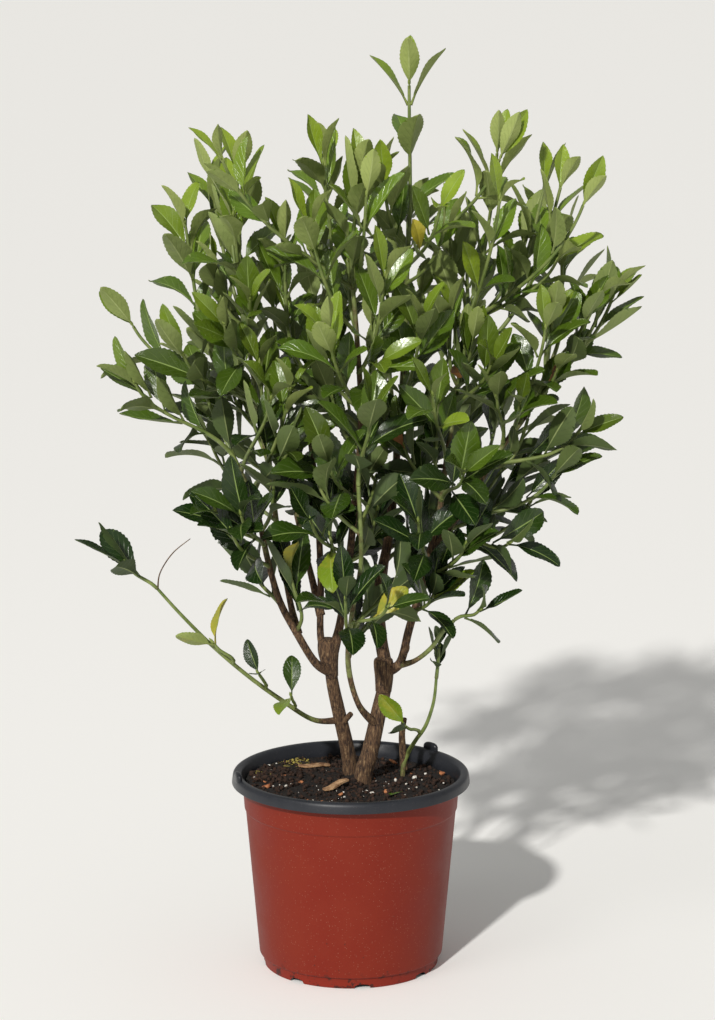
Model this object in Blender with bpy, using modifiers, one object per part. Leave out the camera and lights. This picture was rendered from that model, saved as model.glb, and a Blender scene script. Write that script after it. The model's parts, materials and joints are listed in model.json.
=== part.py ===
"""A potted Japanese euonymus: an evergreen shrub on two short woody stems, in a round plastic pot.

Metres, +Z up. The origin is the middle of the pot's underside, and the plant's front faces -Y.
"""

import math
import random
from dataclasses import dataclass

import bmesh
import bpy
from mathutils import Matrix, Vector
from mathutils.bvhtree import BVHTree

MM = 0.001
GAP = 0.3 * MM
UP = Vector((0.0, 0.0, 1.0))
SEED = 21

# The pot: a 19 cm nursery pot with a rolled lip, a stacking step and a set-in foot.
RIM_RADIUS = 95.0 * MM
POT_HEIGHT = 158.0 * MM
LIP_BAND = 8.5 * MM
LIP_TOP_IN = 7.0 * MM
LIP_EASE = 1.2 * MM
LIP_ROLL = (2.2 * MM, 3.0 * MM)
WALL_TOP_RADIUS = 86.4 * MM
WALL_FOOT_RADIUS = 73.5 * MM
WALL_FOOT_Z = 9.6 * MM
STEP_Z = 128.0 * MM
STEP_OUT = 1.0 * MM
STEP_RADIUS = 84.0 * MM
WALL = 1.6 * MM
INNER_FOOT_RADIUS = WALL_FOOT_RADIUS - 2 * WALL
INNER_STEP_RADIUS = STEP_RADIUS - WALL
FOOT_RADIUS = 70.0 * MM
FOOT_WIDTH = 9.4 * MM
FLOOR_RISE = 5.0 * MM
CENTRE_PAD_RADIUS = 29.4 * MM
POT_SEGMENTS = 24
FOOT_NOTCHES = 8
NOTCH_WIDTH = 13.0 * MM
NOTCH_HEIGHT = 3.6 * MM
NOTCH_TURN = 1 / 6
DRAIN_HOLES = 4
DRAIN_RADIUS = 4.0 * MM
DRAIN_CIRCLE = 45.0 * MM
DRAIN_SEGMENTS = 8
LUG_BEARINGS = (195.0, 45.0)
LUG_SIZE = (3.0 * MM, 12.0 * MM, 6.5 * MM)
LUG_IN = 2.6 * MM
LUG_RISE = 1.4 * MM
EDGE_EASE = 1.2 * MM
SHARP_ANGLE = math.radians(35)

# The soil, and the plain holes that the stems stand in.
SOIL_TOP = 146.0 * MM
SOIL_SIDE_GAP = 0.4 * MM
SOIL_SEGMENTS = 20
SOIL_RINGS = (0.0, 22.0 * MM, 44.0 * MM, 66.0 * MM)
SOIL_BUMP = 1.6 * MM
MOUND_BEARING = 190.0
MOUND_RISE = 4.0 * MM
STEM_DEPTH = 26.0 * MM
HOLE_SLACK = 0.5 * MM
HOLE_SEGMENTS = 10

# Bark flakes: how much they narrow, bend and warp towards their ends.
CHIP_TAPER = 0.45
CHIP_BEND = 0.12
CHIP_WARP = 0.6 * MM

# Leaves: petiole share of the length, thickness at the midrib, and the root's size in the stem.
PETIOLE = 0.13
BLADE_THICKNESS = 1.2 * MM
ROOT_HALF_WIDTH = 0.5 * MM
ROOT_DEPTH = 0.8 * MM
EDGE_ROWS = (0.35, 0.60, 0.83)
MIDRIB_ROW = 0.50
STEM_TIP_RADIUS = 1.25 * MM
STEM_SPAN = 36.0 * MM
STEM_SWELL = 0.12 * MM
STEM_PULL = 0.35
STEM_START_ROOM = 1.1
ROOT_OUT = 0.4
TOOTH = 0.05
OUTLINE_POWER = 0.72
WAVE_TURN = 9.0
WAVE_LAG = 1.3
CLEARANCE = 0.5 * MM
TRIES = 40

# How leaves stand: the lowest and the top pair's lean from the stem in degrees and width as a share of
# the length, the spread of lengths and widths, and how much lean, turn and twist vary, in degrees.
LEANS = (43, 18)
LEAN_CURVE = 1.4
LEAST_LEAN = 14
LEAN_SPREAD = (-30, 34)
LEAN_PLAY = 0.15
TURN_SPREAD = 75
PAIR_SPREAD = 9
TWIST_SPREAD = 24
WIDTHS = (0.50, 0.41)
SPREAD = (0.92, 1.08)
LENGTH_SCALE = 1.06
TOP_SHARE = 0.985
NODE_CURVE = 0.9
LEAF_RISE = 0.12
FACE_RISE = 0.25
SHRINK = 0.4
HULL_SHARE = 0.62
WHOLE_FROM = 0.07
SHORT_FROM = 0.16

# The short woody spurs that side shoots grow from.
SPUR_ANGLE = math.radians(52)
SPUR_OUT = 2.6 * MM
SPUR_STOUTNESS = 1.25
SPUR_FLARE = 1.2

# Colours, as linear red, green and blue.
TERRACOTTA = (0.235, 0.030, 0.013)
PEAT = (0.018, 0.011, 0.007)
BARK = (0.110, 0.070, 0.042)
CHIP = (0.330, 0.160, 0.070)
LEAF_GREEN = (0.060, 0.130, 0.022)


@dataclass(frozen=True)
class Limb:
    """A stretch of wood: the points it runs through and its end radii, all in millimetres."""

    points: tuple
    radii: tuple
    sides: int = 4


@dataclass(frozen=True)
class Shoot:
    """A leafy shoot: the limb it grows from and how far along, its tip in millimetres, its pairs of
    leaves, their length in millimetres, the first pair's turn in degrees, the bare share below, how
    steeply its tip rises and, where its pairs aren't evenly spaced, their shares of its length."""

    name: str
    limb: str
    at: float
    tip: tuple
    pairs: int
    leaf: float
    turn: float = 0.0
    bare: float = 0.25
    rise: float = 0.5
    nodes: tuple = ()


@dataclass(frozen=True)
class Blade:
    """A leaf's shape: its bend and fold in radians, its wave and where it is widest."""

    bend: float
    fold: float
    wave: float
    belly: float


BLADES = (
    Blade(bend=0.35, fold=0.22, wave=0.018, belly=1.00),
    Blade(bend=0.60, fold=0.30, wave=0.024, belly=1.12),
    Blade(bend=0.15, fold=0.16, wave=0.014, belly=0.95),
    Blade(bend=-0.25, fold=0.34, wave=0.020, belly=1.05),
    Blade(bend=0.85, fold=0.26, wave=0.030, belly=1.18),
    Blade(bend=0.40, fold=0.42, wave=0.016, belly=0.90),
)

# The wood. In each trunk the limb that stands in the soil comes first.
TRUNKS = {
    "trunk_left": {
        "left_main": Limb(
            ((-1, 34, 152), (-4, 32, 172), (-10, 28, 200), (-15, 23, 226), (-17, 18, 250)),
            (6.2, 4.6),
            6,
        ),
        "far": Limb(
            ((-15, 21, 234), (-28, 9, 244), (-43, 0, 271), (-56, -6, 298), (-65, -11, 332), (-74, -12, 374),
             (-88, -10, 407)),
            (3.6, 1.9),
        ),
        "left": Limb(
            ((-42, 1, 270), (-48, 14, 292), (-57, 28, 338), (-64, 35, 390), (-74, 35, 448), (-83, 29, 518)),
            (2.7, 1.7),
        ),
        "inner": Limb(
            ((-16, 18, 244), (-24, 20, 262), (-24, 26, 310), (-27, 34, 372), (-33, 36, 440), (-28, 34, 506),
             (-18, 30, 548)),
            (3.2, 1.7),
        ),
        "centre": Limb(
            ((-16, 18, 246), (-9, 16, 272), (-2, 4, 322), (4, -11, 386), (8, -15, 446), (5, -16, 506),
             (1, -15, 556)),
            (3.8, 1.7),
        ),
        "back_left": Limb(
            ((-24, 22, 280), (-34, 40, 318), (-45, 60, 360), (-54, 78, 402), (-56, 88, 440)),
            (2.6, 1.7),
        ),
        "arch": Limb(
            ((-9, 28, 192), (-30, 18, 195), (-55, 3, 215), (-81, -10, 238), (-108, -22, 265),
             (-132, -30, 292), (-150, -35, 314)),
            (2.2, 1.2),
        ),
    },
    "trunk_right": {
        "right_main": Limb(
            ((10, 8, 152), (15, 8, 170), (22, 11, 202), (28, 14, 233), (24, 17, 262), (22, 20, 300),
             (29, 26, 336), (32, 31, 360)),
            (7.4, 3.2),
            6,
        ),
        "leader": Limb(
            ((31, 29, 352), (36, 36, 395), (40, 40, 451), (43, 34, 508), (44, 20, 557), (45, 15, 577)),
            (2.9, 1.6),
        ),
        "right": Limb(
            ((27, 14, 236), (39, 5, 245), (46, -2, 274), (54, -7, 304), (64, -11, 338), (90, -14, 377),
             (113, -10, 415), (138, -2, 448), (156, 5, 486)),
            (3.8, 1.7),
        ),
        "tall": Limb(
            ((60, -9, 328), (69, -10, 368), (76, -5, 420), (87, 6, 488), (94, 9, 522)),
            (2.6, 1.7),
        ),
        "low": Limb(
            ((36, 8, 242), (50, -5, 249), (63, -12, 261), (72, -15, 275), (81, -18, 285)),
            (2.2, 1.5),
        ),
        "front": Limb(
            ((20, 8, 194), (6, -5, 214), (-2, -18, 250), (1, -34, 294), (8, -52, 340), (6, -69, 402)),
            (2.6, 1.6),
        ),
        "back_right": Limb(
            ((22, 19, 284), (28, 38, 322), (34, 60, 366), (36, 80, 412), (32, 94, 456)),
            (2.9, 1.7),
        ),
    },
    "side_stem": {
        "side_main": Limb(
            ((42, 24, 152), (46, 23, 166), (52, 18, 178), (60, 12, 192), (66, 9, 212), (68, 6, 232)),
            (2.0, 1.2),
        ),
    },
}

SHOOTS = (
    Shoot("top", "leader", 1.0, (45, 10, 700), 4, 47, turn=-45, nodes=(0.24, 0.52, 0.88, 0.985)),
    Shoot("top_right", "leader", 0.86, (72, -6, 590), 2, 40, turn=20, bare=0.6),
    Shoot("crown_left", "inner", 1.0, (-21, 24, 638), 4, 45, turn=10),
    Shoot("crown_mid", "centre", 1.0, (6, -20, 628), 5, 46, turn=60, bare=0.1),
    Shoot("crown_back", "leader", 0.66, (20, 58, 618), 4, 45, turn=35, bare=0.4),
    Shoot("crown_front", "centre", 0.86, (-30, -52, 596), 4, 44, turn=25, bare=0.3),
    Shoot("left_outer", "left", 0.72, (-130, 42, 590), 5, 47, turn=15, bare=0.4),
    Shoot("left_tall", "left", 1.0, (-88, 20, 630), 5, 46, turn=75, bare=0.12),
    Shoot("left_mid", "inner", 0.74, (-52, 8, 578), 4, 42, turn=5, bare=0.4),
    Shoot("right_tall", "tall", 1.0, (113, 12, 648), 5, 44, turn=35, bare=0.15),
    Shoot("right_diagonal", "tall", 0.82, (162, 8, 622), 5, 42, turn=80, bare=0.3),
    Shoot("right_upper", "right", 1.0, (166, 40, 574), 4, 45, turn=25, bare=0.2),
    Shoot("right_far", "right", 0.90, (196, -14, 540), 4, 45, turn=40, bare=0.35),
    Shoot("right_round", "right", 0.82, (148, -52, 520), 3, 40, turn=70, bare=0.4),
    Shoot("right_side", "right", 0.68, (174, -36, 436), 4, 46, turn=0, bare=0.35),
    Shoot("right_low", "right", 0.46, (122, -44, 352), 3, 46, turn=85, bare=0.4),
    Shoot("right_dark", "right", 0.60, (131, 34, 436), 3, 42, turn=40, bare=0.4),
    Shoot("rosette", "tall", 0.26, (86, -72, 412), 4, 46, turn=50, bare=0.4),
    Shoot("lime", "tall", 0.42, (62, -84, 474), 4, 40, turn=10, bare=0.35),
    Shoot("right_mid", "tall", 0.62, (107, -48, 492), 4, 44, turn=85, bare=0.35),
    Shoot("crown_right", "tall", 0.90, (78, 40, 576), 3, 40, turn=25, bare=0.4),
    Shoot("centre_glossy", "leader", 0.40, (54, -40, 524), 4, 46, turn=70, bare=0.4),
    Shoot("centre_star", "centre", 0.66, (-16, -82, 518), 4, 42, turn=20, bare=0.4),
    Shoot("centre_long", "centre", 0.76, (26, -58, 560), 4, 44, turn=0, bare=0.3),
    Shoot("centre_low", "centre", 0.44, (-16, -66, 418), 3, 48, turn=60, bare=0.4),
    Shoot("centre_mid", "front", 1.0, (16, -98, 462), 4, 47, turn=35, bare=0.2),
    Shoot("left_bright", "far", 0.86, (-46, -58, 474), 4, 40, turn=80, bare=0.35),
    Shoot("left_inner", "left", 0.50, (-70, -24, 488), 4, 42, turn=15, bare=0.4),
    Shoot("left_far", "far", 1.0, (-166, -26, 474), 5, 44, turn=15, bare=0.35),
    Shoot("left_cluster", "far", 0.92, (-119, 22, 476), 4, 44, turn=50, bare=0.3),
    Shoot("left_low", "far", 0.66, (-84, -54, 376), 4, 48, turn=30, bare=0.3),
    Shoot("low_mid", "centre", 0.28, (-30, -62, 372), 3, 44, turn=75, bare=0.4),
    Shoot("low_right", "right", 0.36, (52, -62, 372), 4, 44, turn=45, bare=0.3),
    Shoot("front_low", "front", 0.46, (28, -66, 306), 2, 38, turn=15, bare=0.5),
    Shoot("right_branch", "low", 1.0, (100, -32, 296), 2, 40, turn=10, bare=0.4),
    Shoot("arch_end", "arch", 1.0, (-172, -42, 334), 2, 46, turn=60, bare=0.6),
    Shoot("arch_mid", "arch", 0.56, (-107, -26, 268), 1, 34, turn=20, bare=0.9),
    Shoot("arch_low", "arch", 0.38, (-72, -14, 240), 1, 27, turn=50, bare=0.5),
    Shoot("arch_root", "arch", 0.22, (-47, -6, 220), 1, 28, turn=10, bare=0.4),
    Shoot("side_top", "side_main", 1.0, (70, 2, 258), 3, 24, turn=30, bare=0.3),
    Shoot("side_low", "side_main", 0.42, (44, 0, 194), 1, 30, turn=80, bare=0.4),
    Shoot("back_left_top", "back_left", 1.0, (-64, 110, 536), 4, 47, turn=20, bare=0.2),
    Shoot("back_left_low", "back_left", 0.62, (-112, 88, 430), 4, 44, turn=65, bare=0.3),
    Shoot("back_left_mid", "left", 0.56, (-100, 84, 516), 4, 44, turn=40, bare=0.35),
    Shoot("back_right_top", "back_right", 1.0, (36, 116, 556), 4, 47, turn=50, bare=0.2),
    Shoot("back_right_low", "back_right", 0.56, (92, 104, 424), 4, 44, turn=10, bare=0.3),
    Shoot("back_right_mid", "back_right", 0.80, (92, 96, 510), 4, 44, turn=70, bare=0.3),
    Shoot("back_mid_low", "back_right", 0.50, (-4, 112, 446), 3, 46, turn=30, bare=0.4),
    Shoot("right_inner", "right", 0.74, (112, -46, 466), 3, 46, turn=60, bare=0.45),
    Shoot("left_back", "left", 0.36, (-112, 62, 412), 3, 46, turn=10, bare=0.45),
)


@dataclass(frozen=True)
class Chip:
    """A loose flake of bark: its sizes and place in millimetres, its bearing and slope in degrees."""

    name: str
    length: float
    width: float
    thickness: float
    place: tuple
    bearing: float
    slope: float


CHIPS = (
    Chip("bark_chip_front", 24, 7, 1.6, (-12, -14), bearing=38, slope=-8),
    Chip("bark_chip_back", 26, 7, 1.4, (-30, 50), bearing=12, slope=4),
)


def linear_mix(a, b, share):
    return a + (b - a) * share


def clear_scene():
    for obj in list(bpy.data.objects):
        bpy.data.objects.remove(obj, do_unlink=True)


def new_collection(name):
    collection = bpy.data.collections.new(name)
    bpy.context.scene.collection.children.link(collection)
    return collection


def new_material(name, colour, roughness):
    material = bpy.data.materials.new(name)
    material.use_nodes = True
    shader = material.node_tree.nodes["Principled BSDF"]
    shader.inputs["Base Color"].default_value = (*colour, 1.0)
    shader.inputs["Roughness"].default_value = roughness
    shader.inputs["Metallic"].default_value = 0.0
    return material


def new_object(name, mesh, collection, material=None):
    obj = bpy.data.objects.new(name, mesh)
    collection.objects.link(obj)
    if material:
        mesh.materials.clear()
        mesh.materials.append(material)
    return obj


def mesh_from(name, bm):
    mesh = bpy.data.meshes.new(name)
    bm.to_mesh(mesh)
    bm.free()
    return mesh


def applied(obj):
    """The object's mesh as its modifiers leave it, welded."""
    graph = bpy.context.evaluated_depsgraph_get()
    graph.update()
    mesh = bpy.data.meshes.new_from_object(obj.evaluated_get(graph))
    bm = bmesh.new()
    bm.from_mesh(mesh)
    bmesh.ops.remove_doubles(bm, verts=bm.verts, dist=1e-6)
    bm.to_mesh(mesh)
    bm.free()
    return mesh


def joined(bodies, operation="UNION", others=None):
    """The first body after one Boolean with the rest, which are then removed."""
    body = bodies[0]
    helpers = new_collection("helpers")
    for helper in bodies[1:] if others is None else others:
        for owner in list(helper.users_collection):
            owner.objects.unlink(helper)
        helpers.objects.link(helper)
        helper.hide_render = True
        helper.display_type = "WIRE"
    modifier = body.modifiers.new("joined", "BOOLEAN")
    modifier.operation = operation
    modifier.operand_type = "COLLECTION"
    modifier.collection = helpers
    modifier.solver = "MANIFOLD"
    mesh = applied(body)
    body.modifiers.remove(modifier)
    body.data = mesh
    for helper in list(helpers.objects):
        bpy.data.objects.remove(helper, do_unlink=True)
    bpy.data.collections.remove(helpers)
    return body


def along(route, share):
    """The point and the direction this share of the way along a route."""
    lengths = [(b - a).length for a, b in zip(route, route[1:])]
    left = share * sum(lengths)
    for a, b, length in zip(route, route[1:], lengths):
        if left <= length or b is route[-1]:
            return a.lerp(b, min(left / length, 1.0)), (b - a).normalized()
        left -= length
    raise ValueError("a route needs two points")


def tube(name, route, radii, sides, collection, material):
    """A round stem with flat ends, whose radius runs evenly from the first value to the second."""
    curve = bpy.data.curves.new(name, "CURVE")
    curve.dimensions = "3D"
    curve.bevel_depth = 1.0
    curve.bevel_resolution = (sides - 4) // 2
    curve.use_fill_caps = True
    spline = curve.splines.new("POLY")
    spline.points.add(len(route) - 1)
    for i, (knot, point) in enumerate(zip(spline.points, route)):
        knot.co = (*point, 1.0)
        knot.radius = linear_mix(*radii, i / (len(route) - 1))
    guide = new_object(name + "_guide", curve, collection)
    mesh = applied(guide)
    bpy.data.objects.remove(guide, do_unlink=True)
    return new_object(name, mesh, collection, material)


def spur(start, end, radius, collection):
    """A short three-sided stub of wood."""
    bm = bmesh.new()
    bmesh.ops.create_cone(
        bm,
        cap_ends=True,
        segments=3,
        radius1=radius * SPUR_FLARE,
        radius2=radius,
        depth=(end - start).length,
    )
    body = new_object("spur", mesh_from("spur", bm), collection)
    turn = (end - start).to_track_quat("Z", "Y").to_matrix().to_4x4()
    body.data.transform(Matrix.Translation((start + end) / 2) @ turn)
    return body


def limb_route(limb):
    return [Vector(point) * MM for point in limb.points]


def limb_radius(limb, share):
    return linear_mix(*limb.radii, share) * MM


def limb_named(name):
    return next(limbs[name] for limbs in TRUNKS.values() if name in limbs)


def shoot_radii(shoot):
    """The stem's radius where it starts, which is more for each pair of leaves, and at its tip."""
    return STEM_TIP_RADIUS + STEM_SWELL * shoot.pairs, STEM_TIP_RADIUS


def shoot_start(shoot):
    """Where a shoot leaves its limb: the limb's axis point, the shoot's first point and direction."""
    limb = limb_named(shoot.limb)
    axis, onward = along(limb_route(limb), shoot.at)
    if shoot.at >= 1.0:
        return axis, axis + onward * GAP, onward
    outward = Vector(shoot.tip) * MM - axis
    outward -= onward * outward.dot(onward)
    direction = (outward.normalized() * math.sin(SPUR_ANGLE) + onward * math.cos(SPUR_ANGLE)).normalized()
    length = limb_radius(limb, shoot.at) + SPUR_OUT
    return axis, axis + direction * (length + GAP), direction


def bent_route(shoot, start, direction):
    """A smooth bend from the start's direction to a rising tip."""
    tip = Vector(shoot.tip) * MM
    reach = (tip - start).length
    rising = ((tip - start).normalized() * (1 - shoot.rise) + UP * shoot.rise).normalized()
    first = start + direction * reach * STEM_PULL
    second = tip - rising * reach * STEM_PULL
    count = max(2, round(reach / STEM_SPAN))
    route = []
    for i in range(count + 1):
        t = i / count
        u = 1 - t
        route.append(start * u**3 + first * 3 * u * u * t + second * 3 * u * t * t + tip * t**3)
    return route


def shoot_route(shoot):
    """The stem's points. Its first span leans away from the wood under it, so the stem starts far enough
    out for the low corner of its slanted end to keep the gap."""
    _, start, direction = shoot_start(shoot)
    onward = bent_route(shoot, start, direction)[1] - start
    slant = onward.normalized().cross(direction).length
    out = shoot_radii(shoot)[0] * slant * STEM_START_ROOM
    return bent_route(shoot, start + direction * out, direction)


def half_width(s, blade):
    """Half the blade's width at s of the leaf's length, as a share of half its greatest."""
    t = max(s - PETIOLE, 0.0) / (1 - PETIOLE)
    return math.sin(math.pi * min(t, 1.0) ** blade.belly) ** OUTLINE_POWER


def midrib_point(s, length, blade):
    """A point of the midrib's arc, and the direction square to it on the upper side."""
    angle = blade.bend * s
    y = length * math.sin(angle) / blade.bend
    z = -length * (1 - math.cos(angle)) / blade.bend
    return Vector((0.0, y, z)), Vector((0.0, math.sin(angle), math.cos(angle)))


def edge_point(s, side, length, width, blade):
    """A point of the blade's edge, lifted by the fold and the wave."""
    middle, square = midrib_point(s, length, blade)
    reach = half_width(s, blade) * width / 2
    wave = blade.wave * length * math.sin(WAVE_TURN * s + WAVE_LAG * side)
    lift = reach * math.sin(blade.fold) + wave
    return middle + Vector((side * reach * math.cos(blade.fold), 0.0, 0.0)) + square * lift


def strip(near, far):
    """Triangles between two chains of (place, vertex) that share their last vertex."""
    faces = []
    i = j = 0
    while i < len(near) - 1 or j < len(far) - 1:
        if j == len(far) - 1 or (i < len(near) - 1 and near[i + 1][0] < far[j + 1][0]):
            face = (near[i][1], near[i + 1][1], far[j][1])
            i += 1
        else:
            face = (near[i][1], far[j + 1][1], far[j][1])
            j += 1
        if len(set(face)) == 3:
            faces.append(face)
    return faces


def leaf_shape(length, width, blade, swell=0.0, root=0.0):
    """A leaf's vertices and triangles. Its root is at the origin, its tip towards +Y and its upper face
    +Z. A swollen one, which starts past its root, stands for it where clearances are tested."""
    vertices = []

    def add(point):
        vertices.append(point)
        return len(vertices) - 1

    middle, square = midrib_point(root, length, blade)
    sides = {side: add(middle + Vector((side * (ROOT_HALF_WIDTH + swell), 0, swell))) for side in (-1, 1)}
    keel = add(middle - square * (ROOT_DEPTH + swell))
    middle, square = midrib_point(MIDRIB_ROW, length, blade)
    half = BLADE_THICKNESS / 2 + swell
    upper = add(middle + square * half)
    lower = add(middle - square * half)
    tip = (1.0, add(midrib_point(1.0, length + swell, blade)[0]))
    faces = [(sides[1], sides[-1], keel), (sides[-1], sides[1], upper)]
    for side in (-1, 1):
        edge = [(root, sides[side])]
        for row, s in enumerate(EDGE_ROWS):
            tooth = 1 + TOOTH * (1 if (row + (side > 0)) % 2 else -1)
            edge.append((s, add(edge_point(s, side, length, width * tooth + 2 * swell, blade))))
        edge.append(tip)
        above = strip([(MIDRIB_ROW, upper), tip], edge)
        below = strip([(root, keel), (MIDRIB_ROW, lower), tip], edge)
        faces.extend((a, c, b) if side > 0 else (a, b, c) for a, b, c in above)
        faces.extend((a, b, c) if side > 0 else (a, c, b) for a, b, c in below)
    return vertices, faces


def leaf_matrix(point, direction, face):
    """The leaf's placing: root, way to the tip, and which way the upper face looks."""
    along_y = direction.normalized()
    across = along_y.cross(face).normalized()
    square = across.cross(along_y)
    return Matrix.Translation(point) @ Matrix((across, along_y, square)).transposed().to_4x4()


def tree_of(vertices, faces, matrix):
    return BVHTree.FromPolygons([matrix @ vertex for vertex in vertices], faces)


@dataclass
class Leaf:
    """A placed leaf: its length and width in metres, and which of the blades it is."""

    matrix: Matrix
    length: float
    width: float
    kind: int


class Room:
    """Everything placed so far, which a new leaf has to clear. A leaf stands here as two swollen copies:
    one nearly whole, for other shoots, and one short of its root, for the leaves of its own shoot."""

    def __init__(self):
        self.taken = []

    def is_clear(self, centre, radius, whole, short, owner):
        for other_centre, other_radius, other_whole, other_short, other_owner in self.taken:
            if (centre - other_centre).length > radius + other_radius:
                continue
            if other_owner != owner and whole.overlap(other_whole):
                return False
            if other_owner == owner and other_short and short.overlap(other_short):
                return False
        return True

    def add(self, centre, radius, whole, short, owner):
        self.taken.append((centre, radius, whole, short, owner))

    def add_stem(self, route, radius, owner):
        """A stem, as one swollen square rod for each of its spans."""
        reach = (radius + CLEARANCE) * math.sqrt(2)
        for start, end in zip(route, route[1:]):
            turn = (end - start).to_track_quat("Z", "Y").to_matrix()
            diamond = ((reach, 0, 0), (0, reach, 0), (-reach, 0, 0), (0, -reach, 0))
            corners = [turn @ Vector(corner) for corner in diamond]
            points = [start + corner for corner in corners] + [end + corner for corner in corners]
            faces = [(k, (k + 1) % 4, 4 + (k + 1) % 4, 4 + k) for k in range(4)]
            tree = BVHTree.FromPolygons(points, [*faces, (3, 2, 1, 0), (4, 5, 6, 7)])
            self.add((start + end) / 2, (end - start).length / 2 + reach, tree, None, owner)


def place_leaf(room, shoot, route, share, bearing, angle, length, width, rng):
    """A leaf near its wanted place, turned or shortened a little where that clears its neighbours."""
    for attempt in range(TRIES):
        loose = attempt / TRIES
        shrink = 1.0 if attempt < TRIES // 2 else 1.0 - SHRINK * (loose - 0.5)
        turned = bearing + math.radians(rng.uniform(-TURN_SPREAD, TURN_SPREAD)) * loose
        leaning = angle + math.radians(rng.uniform(*LEAN_SPREAD)) * (LEAN_PLAY + loose)
        leaning = max(leaning, math.radians(LEAST_LEAN))
        twist = math.radians(rng.uniform(-TWIST_SPREAD, TWIST_SPREAD)) * (1 + loose)
        kind = rng.randrange(len(BLADES))
        point, onward = along(route, share)
        side = Matrix.Rotation(turned, 3, onward) @ onward.orthogonal().normalized()
        point = point + side * linear_mix(*shoot_radii(shoot), share) * ROOT_OUT
        direction = (onward * math.cos(leaning) + side * math.sin(leaning)).normalized()
        direction = (direction + UP * LEAF_RISE).normalized()
        face = onward + UP * FACE_RISE
        face = Matrix.Rotation(twist, 3, direction) @ (face - direction * face.dot(direction))
        matrix = leaf_matrix(point, direction, face)
        leaf = Leaf(matrix, length * shrink, width * shrink, kind)
        centre = point + direction * leaf.length / 2
        whole, short = (
            tree_of(*leaf_shape(leaf.length, leaf.width, BLADES[kind], CLEARANCE, root), matrix)
            for root in (WHOLE_FROM, SHORT_FROM)
        )
        hull = leaf.length * HULL_SHARE
        if room.is_clear(centre, hull, whole, short, shoot.name):
            room.add(centre, hull, whole, short, shoot.name)
            return leaf
    return None


def pair_share(shoot, pair):
    """How far along its stem a pair of leaves grows."""
    if shoot.nodes:
        return shoot.nodes[pair]
    if shoot.pairs == 1:
        return TOP_SHARE
    return linear_mix(shoot.bare, TOP_SHARE, (pair / (shoot.pairs - 1)) ** NODE_CURVE)


def pair_size(shoot, pair, place):
    """A pair's size: the middle pairs are the longest and the top one the shortest."""
    return 0.86 + 0.24 * math.sin(math.pi * (pair + 0.7) / (shoot.pairs + 0.6)) - 0.12 * place**3


def grown_leaves(shoot, room):
    """The shoot's leaves, in opposite pairs, each pair square to the one below it."""
    rng = random.Random(f"{SEED} {shoot.name}")
    route = shoot_route(shoot)
    leaves = []
    for pair in range(shoot.pairs):
        place = pair / max(shoot.pairs - 1, 1)
        share = pair_share(shoot, pair)
        angle = math.radians(linear_mix(*LEANS, place**LEAN_CURVE))
        size = LENGTH_SCALE * shoot.leaf * MM * pair_size(shoot, pair, place)
        for side in (0, 1):
            play = rng.uniform(-PAIR_SPREAD, PAIR_SPREAD)
            bearing = math.radians(shoot.turn + 90 * pair + 180 * side + play)
            length = size * rng.uniform(*SPREAD)
            width = length * linear_mix(*WIDTHS, place) * rng.uniform(*SPREAD)
            leaf = place_leaf(room, shoot, route, share, bearing, angle, length, width, rng)
            if leaf:
                leaves.append(leaf)
    return leaves


def pot_profile():
    """The pot's section, from the middle of its floor up the inside, over the lip and down the outside."""
    lip_bottom = POT_HEIGHT - LIP_BAND
    return (
        (0.0, WALL),
        (CENTRE_PAD_RADIUS - WALL, WALL),
        (CENTRE_PAD_RADIUS, FLOOR_RISE + WALL),
        (INNER_FOOT_RADIUS, FLOOR_RISE + WALL),
        (INNER_STEP_RADIUS, STEP_Z),
        (WALL_TOP_RADIUS - WALL, lip_bottom),
        (RIM_RADIUS - LIP_TOP_IN, POT_HEIGHT),
        (RIM_RADIUS - LIP_EASE, POT_HEIGHT),
        (RIM_RADIUS, lip_bottom),
        (RIM_RADIUS - WALL, lip_bottom),
        (RIM_RADIUS - LIP_ROLL[0], POT_HEIGHT - LIP_ROLL[1]),
        (WALL_TOP_RADIUS, lip_bottom),
        (STEP_RADIUS + STEP_OUT, STEP_Z + EDGE_EASE),
        (STEP_RADIUS, STEP_Z),
        (WALL_FOOT_RADIUS, WALL_FOOT_Z),
        (FOOT_RADIUS + EDGE_EASE / 2, WALL_FOOT_Z - EDGE_EASE),
        (FOOT_RADIUS, 0.0),
        (FOOT_RADIUS - FOOT_WIDTH, 0.0),
        (FOOT_RADIUS - FOOT_WIDTH - EDGE_EASE, FLOOR_RISE),
        (CENTRE_PAD_RADIUS + EDGE_EASE, FLOOR_RISE),
        (CENTRE_PAD_RADIUS, 0.0),
        (0.0, 0.0),
    )


def turned_body(name, profile, segments, collection, material):
    """A profile of (radius, height) points turned about the Z axis."""
    bm = bmesh.new()
    chain = [bm.verts.new((radius, 0.0, height)) for radius, height in profile]
    for a, b in zip(chain, chain[1:]):
        bm.edges.new((a, b))
    body = new_object(name, mesh_from(name, bm), collection, material)
    screw = body.modifiers.new("turned", "SCREW")
    screw.steps = segments
    screw.render_steps = segments
    screw.use_merge_vertices = True
    screw.merge_threshold = 0.00001
    body.data = applied(body)
    body.modifiers.clear()
    body.data.materials.clear()
    body.data.materials.append(material)
    return body


def box(name, size, location, bearing, collection):
    bm = bmesh.new()
    bmesh.ops.create_cube(bm, size=1.0)
    bmesh.ops.scale(bm, vec=size, verts=bm.verts)
    body = new_object(name, mesh_from(name, bm), collection)
    spin = Matrix.Rotation(math.radians(bearing), 4, "Z")
    body.data.transform(spin @ Matrix.Translation(location))
    return body


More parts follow.
